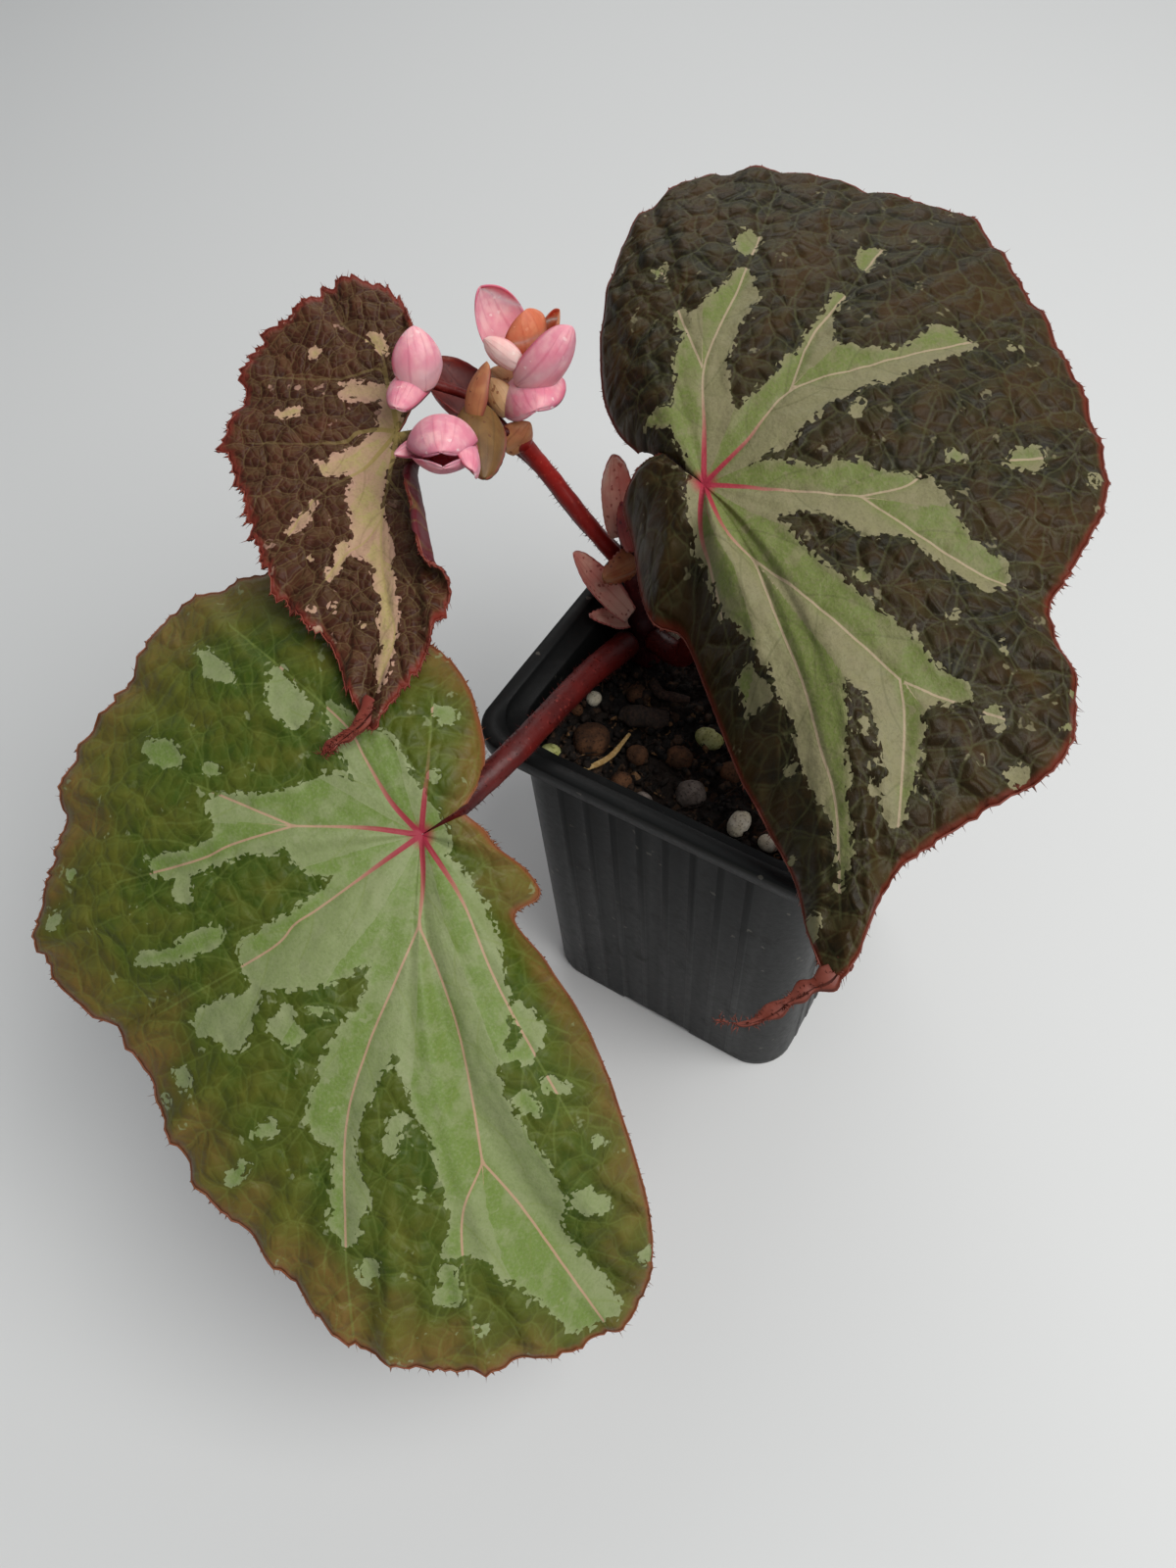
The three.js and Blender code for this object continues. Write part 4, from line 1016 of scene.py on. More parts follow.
RIGHT_LEAF = dict(
    name="leaf_right", place=(-9.3, 3.7, 118), heading=-48, slope=16, roll=10.5,
    ribs=[
        (-148, 15, -7, 0, 0), (-150, 21, -7, 1, 0), (-157, 28, -6, 2, 0), (-169, 40, -5, 3, 0),
        (-180, 53, -5, 3, 0), (-190, 61, -7, 4, 0), (-203, 64, -9, 4, 0),
        (-220, 64, -11, 4, 0), (-232, 65, -11, 4, 0), (-246, 59, -9, 4, 0),
        (-260, 56, -8, 4, 0), (-273, 55, -7, 3, 0), (-285, 55, -7, 3, 0),
        (-298, 51, -6, 3, 0), (-307, 50, -5, 3, 0), (-315, 57, -6, 3, 0),
        (-325, 61, -5, 3, 0), (-340, 59, -4, 3, 3), (-350, 61, -4, 3, 5),
        (-357, 69, -4, 2, 7), (-360, 71, -5, 2, 7), (-361, 65, -7, 2, 6),
        (-361, 57, -10, 3, 4), (-363, 49, -12, 4, 3), (-367, 39, -14, 5, 3),
        (-375, 25, -16, 6, 2), (-388, 17, -16, 4, 1), (-404, 17, -14, 4, 0),
        (-424, 14, -14, 4, 0), (-451, 12, -12, 4, 0), (-473, 13, -8, 3, 0),
        (-487, 12, -4.5, 3, 0), (-499, 11, -3, 2, 0.5), (-508, 9, -1, 1.5, 0.8),
    ],
    tail=[(32, -38, 95.4), (36.4, -43.4, 94.6), (33.4, -48.6, 92.6), (29.4, -54.4, 90.4),
          (25.4, -56.2, 90.2)],
    veins=[
        [(0, 0), (-8, 2), (-17, 4), (-24, 8), (-30, 12), (-41, 18), (-52, 23)],
        [(-17, 4), (-26, 3), (-38, 2)],
        [(0, 0), (-4, 7), (-10, 15), (-11, 26), (-12, 36), (-13, 48)],
        [(-10, 15), (-18, 20), (-25, 27), (-35, 36)], [(0, 0), (4, 8), (7, 15), (9, 20)],
        [(9, 20), (9, 26), (7, 32), (8, 48)], [(9, 20), (14, 24), (22, 31), (29, 40)],
        [(0, 0), (8, 1), (14, 4)], [(14, 4), (20, 8), (31, 15), (36, 18)],
        [(36, 18), (42, 17), (54, 13), (58, 11)], [(36, 18), (39, 22), (44, 30)],
        [(14, 4), (24, 5), (33, 6), (42, 6), (50, 6), (64, 3)],
        [(0, 0), (7, -2), (13, -2), (24, -2)],
    ],
    arms=[
        [(1, 0, 1.5), (-4, 1, 3), (-9, 2, 5), (-14, 3, 4), (-19, 4, 4), (-24, 7, 4),
         (-29, 12, 3), (-33, 14, 1)],
        [(-10, 2, 2.5), (-11, -2, 2), (-12, -5, 1)], [(-26, 3, 1.5), (-28, 3, 0.8)],
        [(-40, 16, 2.2), (-38, 15, 1.5)], [(-38, 2, 1.4)],
        [(1, 0, 2.5), (-3, 5, 4), (-6, 11, 5), (-9, 16, 5), (-11, 19, 5.5), (-11, 23, 4.5),
         (-10, 28, 3), (-11, 33, 2.5), (-13, 38, 3), (-12, 41, 1)],
        [(-17, 21, 2.5), (-21, 23, 0.9), (-25, 26, 0.9)], [(-30, 31, 1.3), (-33, 33, 1.8)],
        [(-4, 23, 1.4)], [(-11, 48, 1)],
        [(1, 0, 2.5), (4, 5, 5), (5, 10, 4.5), (7, 15, 3.5), (8, 19, 5), (11, 22, 5),
         (12, 26, 5), (15, 28, 4), (20, 30, 3), (23, 33, 3), (25, 35, 1)],
        [(6, 34, 1.2)], [(8, 42, 1.5), (8, 44, 2)],
        [(2, 0, 3), (9, 2, 5.5), (16, 5, 6), (22, 8, 6), (28, 12, 6), (31, 15, 5.5),
         (34, 18, 4.5), (37, 20, 3.5), (39, 25, 1.5), (40, 26, 0.5)],
        [(35, 17, 4), (38, 17, 3.5), (43, 16, 3), (48, 15, 2), (52, 13, 1.5), (54, 12, 0.5)],
        [(43, 28, 1.5), (44, 29, 1)],
        [(18, 4, 6), (26, 6, 4.5), (33, 7, 4.5), (39, 7, 3.5), (43, 6, 3), (47, 6, 2.5),
         (51, 6, 1.5), (55, 6, 1), (60, 4, 0.5)],
        [(3, 0, 1.5), (10, 0, 3), (16, 1, 3.5)], [(29, -1, 1.5), (32, 0, 2)], [(43, 2, 1)],
        [(51, 29, 1.4)], [(12, 52, 1)], [(34, 32, 0.8)], [(29, 27, 0.8)], [(13, 19, 1.3)],
        [(21, 17, 1)], [(41, 12, 0.9)], [(46, 12, 0.7)], [(49, 11, 0.7)],
        [(64, -1, 1.5), (63, 0, 0.8)], [(54, -1, 0.8)], [(41, 40, 0.8)], [(46, 37, 0.8)],
    ],
)

SMALL_LEAF = dict(
    name="leaf_small", place=(-58, -5.5, 116), heading=-64, slope=18, roll=2,
    ribs=[
        (455, 7, 1, 0, 0), (430, 7, 2, 0, 0), (410, 8, 3, 0, 0), (396, 12, 4, 0, 0),
        (389, 18, 5, 0, 0), (386, 25, 5, 0, 0), (384, 30, 3, 0, 0), (377, 36, 3, 1, 0),
        (374, 39.5, 3, 1, 0.3), (369.5, 43.5, 3, 1, 0.6), (364, 49, 3, 1, 1),
        (358.5, 43, 2, 1, 0.8), (351, 36, 2, 1, 0.4), (336, 32, 2, 1, 0),
        (315, 27, 2, 1, 0), (299, 25, 2, 1, 0), (278, 26, 3, 1, 0),
        (262, 25, 3, 1, 0), (243, 27, 3, 1, 0), (222, 26, 4, 1, 0),
        (204, 27, 4, 1, 0), (190, 24, 3, 1, 0), (180, 19, 3, 0, 0), (168, 12, 2, 0, 0),
        (153, 8, 2, 0, 0),
    ],
    tail=[(-35.6, -43.6, 104.4), (-35.9, -47.3, 103.4), (-37.2, -50, 102.3),
          (-38.7, -53.5, 101.2)],
    veins=[
        [(0, 0), (0, -3), (1, -6), (3, -9), (4, -22)],
        [(0, 0), (-7, -2), (-10, -4), (-8, -10), (-8, -22)],
        [(-7, -2), (-13, -4), (-17, -10), (-22, -13)],
        [(0, 0), (7, -4), (11, -9), (15, -12), (22, -15)],
        [(0, 0), (9, 0), (16, 0), (23, 1), (30, 3), (36, 5), (45, 3), (50, 1)],
        [(16, 0), (20, -2), (23, -5), (31, -9)], [(23, 1), (26, 5), (31, 9)],
        [(9, 0), (14, 4), (19, 6)],
    ],
    arms=[
        [(-4, -1, 2), (0, -2, 1.5), (4, -3, 3), (7, -3, 3), (10, -3, 2.5), (13, -3, 2.8),
         (16, -2, 2.5), (20, -1, 3.2), (23, 1, 2), (26, 2, 1.4), (30, 3, 1.5), (35, 4, 1.5),
         (38, 4, 1), (41, 4, 1), (44, 4, 0.5)],
        [(-6, -1, 1.5), (-6, -5, 1.5), (-6, -8, 1.5), (-7, -9, 0.5)],
        [(5, -5, 2), (7, -8, 2), (8, -10, 1), (7, -11, 0.5)],
        [(14, -11, 0.6), (17, -12, 1.1), (19, -14, 0.6)], [(-12, -14, 0.9)],
        [(-2, -16, 1), (-1, -18, 0.6)], [(21, -5, 1), (24, -5, 0.7), (26, -6, 1)],
        [(-15, -5, 1), (-14, -4, 1), (-13, -3, 0.6)], [(35, -7, 0.9)], [(32, -8, 0.6)],
        [(34, 0, 0.6)], [(23, -10, 0.6)], [(31, -5, 0.6)],
    ],
)


# ------------------------------------------------------------------ stem and stalks


@dataclass(frozen=True)
class SkinFinish:
    """Satin red skin of a stem or stalk, mottled, with fine light specks."""

    slot: str
    main: str
    shade: str
    light: str

    def skin(self, name: str) -> bpy.types.Material:
        """The skin and its hairs.

        Args:
            name: the name of what wears it.

        Returns:
            The material.
        """
        make = Recipe(f"{name}_skin", Specular_IOR_Level=0.3)
        where = make.solid()
        broad = make.cloud(where, 9, 2)
        fine = make.cloud(where, 0.8, 3)
        colour = make.mix(make.step(broad, 0.35, 0.68), tint(self.main), tint(self.shade))
        colour = make.mix(0.6 * make.step(fine, 0.58, 0.75), colour, tint(self.light))
        make.bump(fine, 0.15, 0.5)
        return make.wear(Base_Color=colour, Roughness=0.32 + 0.25 * fine)


@dataclass
class Stalk:
    """A leaf or flower stalk with short hairs."""

    name: str
    points: list[Point]
    radii: list[float]
    finish: SkinFinish
    hair: float = 1.1
    hair_count: int = 260
    knob: float = 0.0
    rings: int = 70
    sides: int = 24

    def build(self) -> bpy.types.Object:
        """Builds the stalk and returns the piece."""
        work = Workpiece()
        line = work.tube(self.points, self.radii, self.rings, self.sides, 1.0, 0.12)
        shares = np.linspace(0, 1, len(self.radii))
        draw = random.Random(len(self.points) * 7 + int(self.radii[0] * 100))
        roots = []
        for _ in range(self.hair_count):
            k = draw.randrange(3, len(line) - 3)
            ahead = Vector(line[k + 1] - line[k]).normalized()
            way = Vector([draw.gauss(0, 1) for _ in range(3)])
            way = (way - ahead * way.dot(ahead)).normalized()
            width = float(np.interp(k / self.rings, shares, self.radii))
            roots.append((Vector(line[k]) + way * width * 0.96, way))
        work.hairs(roots, self.hair, 0.075, draw)
        if self.knob:
            work.ball(self.points[-1], (self.knob,) * 3)
        return work.settle(f"{self.name}_skin", [self.finish.skin(self.name)],
                           [self.name])


@dataclass
class Stem:
    """The short upright stem with its swollen joints."""

    finish: SkinFinish
    points: tuple = ((-20.5, 5, 58), (-21.4, 6.5, 74), (-23, 8.5, 84), (-25, 10.5, 94),
                     (-25.4, 11, 101))
    knuckles: tuple = (79.5, 88.5, 96.5)
    radius: float = 2.9
    rings: int = 90
    sides: int = 32

    def build(self) -> bpy.types.Object:
        """Builds the stem and returns the piece."""
        work = Workpiece()
        line = even_points(list(self.points), self.rings)
        loops = []
        for k, (centre, (side, up, _)) in enumerate(zip(line, carried_frames(line))):
            share = k / self.rings
            width = self.radius * (1 - 0.12 * share)
            for height in self.knuckles:
                width += 0.42 * math.exp(-((centre[2] - height) / 1.3) ** 2)
            width *= min(1, 0.45 + (1 - share) * 12)
            loop = []
            for n in range(self.sides):
                turn = 2 * math.pi * n / self.sides
                spot = side * math.cos(turn) + up * math.sin(turn)
                rough = 0.16 * noise.noise((Vector(centre) + spot * width) * 0.8)
                loop.append((Vector(centre) + spot * (width + rough)) * MM)
            loops.append(loop)
        work.skin(loops)
        return work.settle("stem_skin", [self.finish.skin("stem")], ["stem"])


# ------------------------------------------------------------------ stipules, bracts, petals


@dataclass(frozen=True)
class PetalFinish:
    """A thin petal or scale leaf: body colour, edges, faint lengthwise veins, specks."""

    slot: str
    body: str
    pale: str
    edge: str
    vein: str
    speck: str
    specks: float = 0.0
    see_through: float = 0.25

    def sheet(self, name: str) -> bpy.types.Material:
        """The petal's material, laid along its own length.

        Args:
            name: the name of the piece or flower that wears it.

        Returns:
            The material.
        """
        make = Recipe(f"{name}_sheet", Roughness=0.5, Subsurface_Weight=self.see_through,
                      Subsurface_Radius=(1.0, 0.35, 0.3), Subsurface_Scale=1.2 * MM,
                      Specular_IOR_Level=0.35)
        where = make.solid()
        split = make.node("ShaderNodeSeparateXYZ", None, {"Vector": make.flat()})
        side = make.math("ABSOLUTE", Wire(make, split.outputs["X"]) * 2 - 1)
        along = Wire(make, split.outputs["Y"])
        soft = make.cloud(where, 3.2, 3)
        fine = make.cloud(where, 0.35, 2)
        colour = make.mix(make.step(soft, 0.36, 0.72), tint(self.body), tint(self.pale))
        colour = make.mix(make.step(along + 0.2 * soft, 0.55, 0.0), colour, tint(self.pale))
        stretch = make.node("ShaderNodeMapping", None,
                            {"Vector": make.flat(), "Scale": (12.0, 1.1, 1.0)})
        ribs = make.node("ShaderNodeTexNoise", None,
                         {"Vector": stretch.outputs["Vector"], "Scale": 1.0, "Detail": 2.0})
        streak = make.step(Wire(make, ribs.outputs["Fac"]), 0.53, 0.66)
        colour = make.mix(0.35 * streak, colour, tint(self.vein))
        colour = make.mix(0.75 * make.step(side + 0.12 * soft, 0.86, 1.04), colour,
                          tint(self.edge))
        dots = make.step(make.chance(where, 0.42), 1 - self.specks, 1.01 - self.specks)
        colour = make.mix(0.7 * dots, colour, tint(self.speck))
        make.bump(0.5 * fine + streak * 0.5, 0.12, 0.5)
        return make.wear(Base_Color=colour, Roughness=0.38 + 0.24 * fine)


@dataclass
class Petal:
    """A cupped blade that bends from its base to its tip, as in the solids.

    face is the way that its hollow side looks. cup and bend are angles in radians, across and
    along it, and a greater roundness makes its outline more pointed at its ends.
    """

    base: Point
    tip: Point
    face: Point
    width: float
    cup: float
    bend: float
    roundness: float
    frill: float = 0.0
    fringe: float = 0.0
    thickness: float = 0.42
    rows: int = 44
    columns: int = 28

    def add_to(self, work: Workpiece) -> None:
        """Adds the blade, as a closed shell, to a workpiece.

        Args:
            work: the workpiece that takes it in.
        """
        part = Workpiece()
        mesh = part.mesh
        flat = mesh.loops.layers.uv.new("sheet")
        bmesh.ops.create_grid(mesh, x_segments=self.columns, y_segments=self.rows, size=0.5)
        along = Vector(self.tip) - Vector(self.base)
        chord = along.length
        along.normalize()
        across = along.cross(Vector(self.face)).normalized()
        inward = across.cross(along)
        bow = chord / (2 * math.sin(self.bend / 2))
        places = {}
        for vert in mesh.verts:
            side, row = 2 * vert.co.x, vert.co.y + 0.5
            places[vert] = (vert.co.x + 0.5, row)
            v = math.sin(math.pi / 2 * row)
            turn = self.bend * (v - 0.5)
            swell = max(0.0, math.sin(math.pi * (0.13 + 0.87 * v))) ** self.roundness
            half = self.width / 2 * max(0.05, swell)
            angle = self.cup * side
            edge = abs(side) ** 4
            lift = self.frill * edge * math.sin(9 * v + 3 * side + self.width) * swell
            lift += 0.12 * noise.noise(Vector((side * 1.6, v * 3, self.width)))
            reach = half / self.cup * math.sin(angle)
            reach += math.copysign(self.fringe * edge * abs(math.sin(31 * v + 2 * side)), side)
            rise = half / self.cup * (1 - math.cos(angle))
            y = chord / 2 + (bow - rise) * math.sin(turn)
            z = bow * math.cos(self.bend / 2) - (bow - rise) * math.cos(turn) + lift
            y += self.fringe * 0.8 * v ** 8 * abs(math.sin(13 * side + 1))
            vert.co = (Vector(self.base) + along * y + across * reach + inward * z) * MM
        for face in mesh.faces:
            for corner in face.loops:
                corner[flat].uv = places[corner.vert]
        bmesh.ops.solidify(mesh, geom=mesh.faces, thickness=self.thickness * MM)
        bmesh.ops.recalc_face_normals(mesh, faces=mesh.faces)
        if mesh.calc_volume(signed=True) < 0:
            bmesh.ops.reverse_faces(mesh, faces=mesh.faces)
        work.absorb(part)


@dataclass
class Scale:
    """A stipule or bract: one petal-like blade."""

    name: str
    petal: Petal
    finish: PetalFinish

    def build(self) -> bpy.types.Object:
        """Builds the scale leaf and returns the piece."""
        work = Workpiece()
        self.petal.add_to(work)
        return work.settle(f"{self.name}_sheet", [self.finish.sheet(self.name)],
                           [self.name])


@dataclass
class Flower:
    """One flower: its tepals by their looks, its round middle and its own short stalk."""

    name: str
    petals: dict[str, list[Petal]]
    core: Point
    core_radii: Point
    stem: list[Point]
    middle: str

    def build(self) -> list[bpy.types.Object]:
        """Builds the tepals, the middle and the stalk, and returns the pieces."""
        pieces = []
        for look, petals in self.petals.items():
            work = Workpiece()
            for petal in petals:
                petal.add_to(work)
            skin = PETAL_LOOKS[look].sheet(f"{self.name}_{look}")
            pieces.append(work.settle(f"{self.name}_{look}", [skin], [self.name]))
        heart = Workpiece()
        heart.ball(self.core, self.core_radii)
        make = Recipe(f"{self.name}_heart", Roughness=0.45)
        soft = make.cloud(make.solid(), 1.4, 3)
        colour = make.mix(make.step(soft, 0.35, 0.65), tint(self.middle), tint("8a3420"))
        make.bump(soft, 0.2, 0.5)
        skin = make.wear(Base_Color=colour)
        pieces.append(heart.settle(f"{self.name}_heart", [skin], [self.name]))
        foot = Workpiece()
        foot.tube(self.stem, [0.75, 0.7, 0.85], 24, 14, 1.0, 0.08)
        skin = PETIOLE_SKIN.skin(f"{self.name}_foot")
        pieces.append(foot.settle(f"{self.name}_foot", [skin], [self.name]))
        return pieces


# ------------------------------------------------------------------ pot


@dataclass
class Pot:
    """The square moulded pot: a tapering ribbed wall, a deep collar and a hollow."""

    height: float = 85.8
    rim_half: float = 32
    collar: float = 3.5
    body_half: float = 28.1
    taper: float = 0.015
    rim_radius: float = 6.5
    body_radius: float = 8.5
    wall: float = 1.2
    floor: float = 1.6
    mouth_half: float = 29.4
    mouth_depth: float = 2.2
    ribs: int = 8
    rib_pitch: float = 5
    rib_width: float = 1.1
    rib_raise: float = 0.28
    notch: float = 8
    soft: float = 0.45
    corner_steps: int = 10

    def side_places(self) -> list[float]:
        """Places along one side, from its middle, where the outline needs a point."""
        marks = [-self.notch - 0.4, -self.notch, self.notch, self.notch + 0.4, 0.0]
        first = -(self.ribs - 1) / 2 * self.rib_pitch
        for k in range(self.ribs):
            middle = first + k * self.rib_pitch
            marks += [middle + part * self.rib_width for part in (-0.75, -0.4, 0.4, 0.75)]
        return sorted(set(round(mark, 3) for mark in marks))

    def outline(self, half: float, radius: float, z: float, ribbed: float = 0.0,
                arch: float = 0.0) -> list[Vector]:
        """One closed loop of points round the pot.

        Args:
            half: half its width.
            radius: its corner radius.
            z: its height.
            ribbed: how far the ribs stand out there.
            arch: how far the middle of each side is raised.

        Returns:
            The loop's points, in metres.
        """
        loop = []
        first = -(self.ribs - 1) / 2 * self.rib_pitch
        for side in range(4):
            turn = Matrix.Rotation(side * math.pi / 2, 3, "Z")
            for place in self.side_places():
                off = min(abs(place - first - k * self.rib_pitch) for k in range(self.ribs))
                out = ribbed if off < 0.5 * self.rib_width else 0.0
                lift = arch if abs(place) <= self.notch else 0.0
                x = place * min(1.0, (half - radius) / (self.body_half - self.body_radius))
                loop.append(turn @ Vector((x, -half - out, z + lift)) * MM)
            for k in range(1, self.corner_steps):
                angle = -math.pi / 2 + k * math.pi / (2 * self.corner_steps)
                corner = Vector((half - radius + radius * math.cos(angle),
                                 -half + radius + radius * math.sin(angle), z))
                loop.append(turn @ corner * MM)
        return loop

    def share(self, z: float) -> float:
        """How much narrower the wall is at a height than at the top."""
        return 1 - self.taper * (1 - z / self.height)

    def build(self) -> bpy.types.Object:
        """Builds the pot and returns the piece."""
        under = self.height - self.collar
        soft = self.soft
        loops = []

        def ring(half: float, radius: float, z: float, **more: float) -> None:
            """Adds one loop, narrowed as the wall is there."""
            share = 1.0 if z > under - 0.01 and half > self.body_half else self.share(z)
            loops.append(self.outline(half * share, radius, z, **more))

        inner = self.body_half - self.wall
        ring(self.body_half - 5, self.body_radius - 4, 0.0, arch=1.0)
        ring(self.body_half - soft, self.body_radius - soft, 0.0, arch=1.0)
        ring(self.body_half, self.body_radius, soft, arch=1.0)
        for z, ribbed in ((1.9, 0), (2.3, 1), (under - 2.3, 1), (under - 1.9, 0)):
            ring(self.body_half, self.body_radius, z, ribbed=ribbed * self.rib_raise)
        ring(self.body_half, self.body_radius, under - 0.1)
        ring(self.rim_half - soft, self.rim_radius - soft, under)
        ring(self.rim_half, self.rim_radius, under + soft)
        ring(self.rim_half, self.rim_radius, self.height - soft)
        ring(self.rim_half - 0.15, self.rim_radius, self.height - 0.12)
        ring(self.rim_half - soft, self.rim_radius, self.height)
        ring(self.mouth_half + 0.3, self.body_radius, self.height)
        ring(self.mouth_half, self.body_radius - self.wall, self.height - 0.3)
        ring(self.mouth_half - 0.1, self.body_radius - self.wall,
             self.height - self.mouth_depth + 0.2)
        ring(inner + 0.3, self.body_radius - self.wall, self.height - self.mouth_depth)
        ring(inner, self.body_radius - self.wall, self.height - self.mouth_depth - 0.4)
        ring(inner, self.body_radius - self.wall, self.floor + 0.4)
        ring(inner - 0.5, self.body_radius - self.wall, self.floor)
        work = Workpiece()
        work.skin(loops)
        for face in list(work.mesh.faces):
            if len(face.verts) > 4:
                bmesh.ops.triangulate(work.mesh, faces=[face])
        bmesh.ops.recalc_face_normals(work.mesh, faces=work.mesh.faces)
        return work.settle("pot_shell", [self.plastic()], ["pot"])

    def plastic(self) -> bpy.types.Material:
        """Black moulded plastic with a soft sheen, dust and fine scuffs."""
        make = Recipe("pot_plastic", Specular_IOR_Level=0.18)
        where = make.solid()
        broad = make.cloud(where, 26, 3)
        fine = make.cloud(where, 1.1, 4)
        grain = make.cloud(where, 0.3, 2)
        dust = make.step(make.cloud(where, 7, 6, 0.7), 0.52, 0.78)
        colour = make.mix(broad, tint("0c0d0d"), tint("131414"))
        colour = make.mix(0.12 * dust, colour, tint("4c4842"))
        specks = make.step(make.chance(where, 0.7), 0.994, 0.997)
        colour = make.mix(0.25 * specks, colour, tint("8a8378"))
        make.bump(0.6 * grain + 0.4 * fine, 0.06, 0.5)
        return make.wear(Base_Color=colour, Roughness=0.3 + 0.22 * fine + 0.2 * dust)


# ------------------------------------------------------------------ potting mix and grit


@dataclass
class PottingMix:
    """The fibrous mix: a rough crumbly top in the pot, with loose crumbs and fibres."""

    half: float = 26.08
    radius: float = 7.0
    level: float = 72.5
    bottom: float = 1.9
    segments: int = 150
    crumb_count: int = 900
    fibre_count: int = 70

    def surface(self, x: float, y: float) -> float:
        """The height of the smooth top of the mix at a place."""
        wave = math.sin(x * 0.31 + 0.6) * math.cos(y * 0.27) + 0.5 * math.sin((x - y) * 0.6)
        return self.level + 0.7 * wave

    def rounded(self, x: float, y: float) -> tuple[float, float]:
        """Moves a place in a square to the same place in one with round corners.

        Args:
            x: the place.
            y: the same.

        Returns:
            The new place.
        """
        flat = self.half - self.radius
        dx, dy = abs(x) - flat, abs(y) - flat
        if dx > 0 and dy > 0:
            squeeze = max(dx, dy) / math.hypot(dx, dy)
            x = math.copysign(flat + dx * squeeze, x)
            y = math.copysign(flat + dy * squeeze, y)
        return x, y

    def mix(self) -> bpy.types.Material:
        """Damp dark fibrous mix."""
        make = Recipe("potting_mix_fibre", Specular_IOR_Level=0.3)
        where = make.solid()
        broad = make.cloud(where, 5, 4)
        fine = make.cloud(where, 0.7, 4, 0.65)
        crumb = make.cells(where, 1.0)
        grain = Wire(make, crumb.outputs["Distance"])
        chance = make.chance(where, 1.0)
        colour = make.mix(make.step(broad, 0.4, 0.62), tint("0f0b08"), tint("20160f"))
        colour = make.mix(make.step(chance, 0.8, 0.84), colour, tint("3c2a1c"))
        colour = make.mix(0.8 * make.step(chance, 0.975, 0.98), colour, tint("7a5a3a"))
        make.bump(fine + (1 - grain), 0.5, 0.9)
        return make.wear(Base_Color=colour, Roughness=0.62 + 0.3 * fine)

    def build(self) -> list[bpy.types.Object]:
        """Builds the mix and its crumbs, and returns both pieces."""
        work = Workpiece()
        mesh = work.mesh
        bmesh.ops.create_grid(mesh, x_segments=self.segments, y_segments=self.segments,
                              size=self.half)
        for vert in mesh.verts:
            x, y = self.rounded(vert.co.x, vert.co.y)
            spot = Vector((x, y, 0))
            inner = min(1.0, (self.half - max(abs(vert.co.x), abs(vert.co.y))) / 2)
            crumb = 0.9 * noise.turbulence(spot * 0.42, 4, False) - 0.5
            crumb += 0.5 * noise.noise(spot * 1.3)
            vert.co = Vector((x, y, self.surface(x, y) + crumb * inner)) * MM
        rim = [edge for edge in mesh.edges if edge.is_boundary]
        skirt = bmesh.ops.extrude_edge_only(mesh, edges=rim)["geom"]
        low = [item for item in skirt if isinstance(item, bmesh.types.BMVert)]
        for vert in low:
            vert.co.z = self.bottom * MM
        base = [item for item in skirt if isinstance(item, bmesh.types.BMEdge)
                and item.is_boundary]
        bmesh.ops.contextual_create(mesh, geom=base)
        bmesh.ops.recalc_face_normals(mesh, faces=mesh.faces)
        top = work.settle("potting_mix_top", [self.mix()], ["potting_mix"])
        return [top, self.crumbs()]

    def crumbs(self) -> bpy.types.Object:
        """Loose crumbs and fibres strewn over the top."""
        work = Workpiece()
        draw = random.Random(5)
        reach = self.half - 1.2
        for _ in range(self.crumb_count):
            x, y = self.rounded(draw.uniform(-reach, reach), draw.uniform(-reach, reach))
            size = draw.uniform(0.25, 0.8) if draw.random() < 0.85 else draw.uniform(0.8, 1.3)
            stretch = Vector([draw.uniform(0.6, 1.4) for _ in range(3)]) * size
            turn = Euler([draw.uniform(0, FULL_TURN) for _ in range(3)]).to_matrix().to_4x4()
            z = self.surface(x, y) + 0.3 + 0.3 * size
            spot = Matrix.Translation(Vector((x, y, z)) * MM) @ turn
            bmesh.ops.create_icosphere(work.mesh, subdivisions=1, radius=MM,
                                       matrix=spot @ Matrix.Diagonal((*stretch, 1.0)))
        for _ in range(self.fibre_count):
            x, y = draw.uniform(-reach, reach), draw.uniform(-reach, reach)
            x, y = self.rounded(x * 0.93, y * 0.93)
            heading = draw.uniform(0, FULL_TURN)
            length = draw.uniform(2, 6)
            points = []
            for k in range(4):
                px, py = self.rounded(x + math.cos(heading) * length * k / 3,
                                      y + math.sin(heading) * length * k / 3)
                px = max(-reach, min(reach, px))
                py = max(-reach, min(reach, py))
                points.append((px, py, self.surface(px, py) + 0.5 + 0.5 * draw.random()))
                heading += draw.uniform(-0.4, 0.4)
            work.tube(points, [0.12, 0.16, 0.06], 6, 4)
        return work.settle("potting_mix_crumbs", [self.mix()],
                           ["potting_mix"])


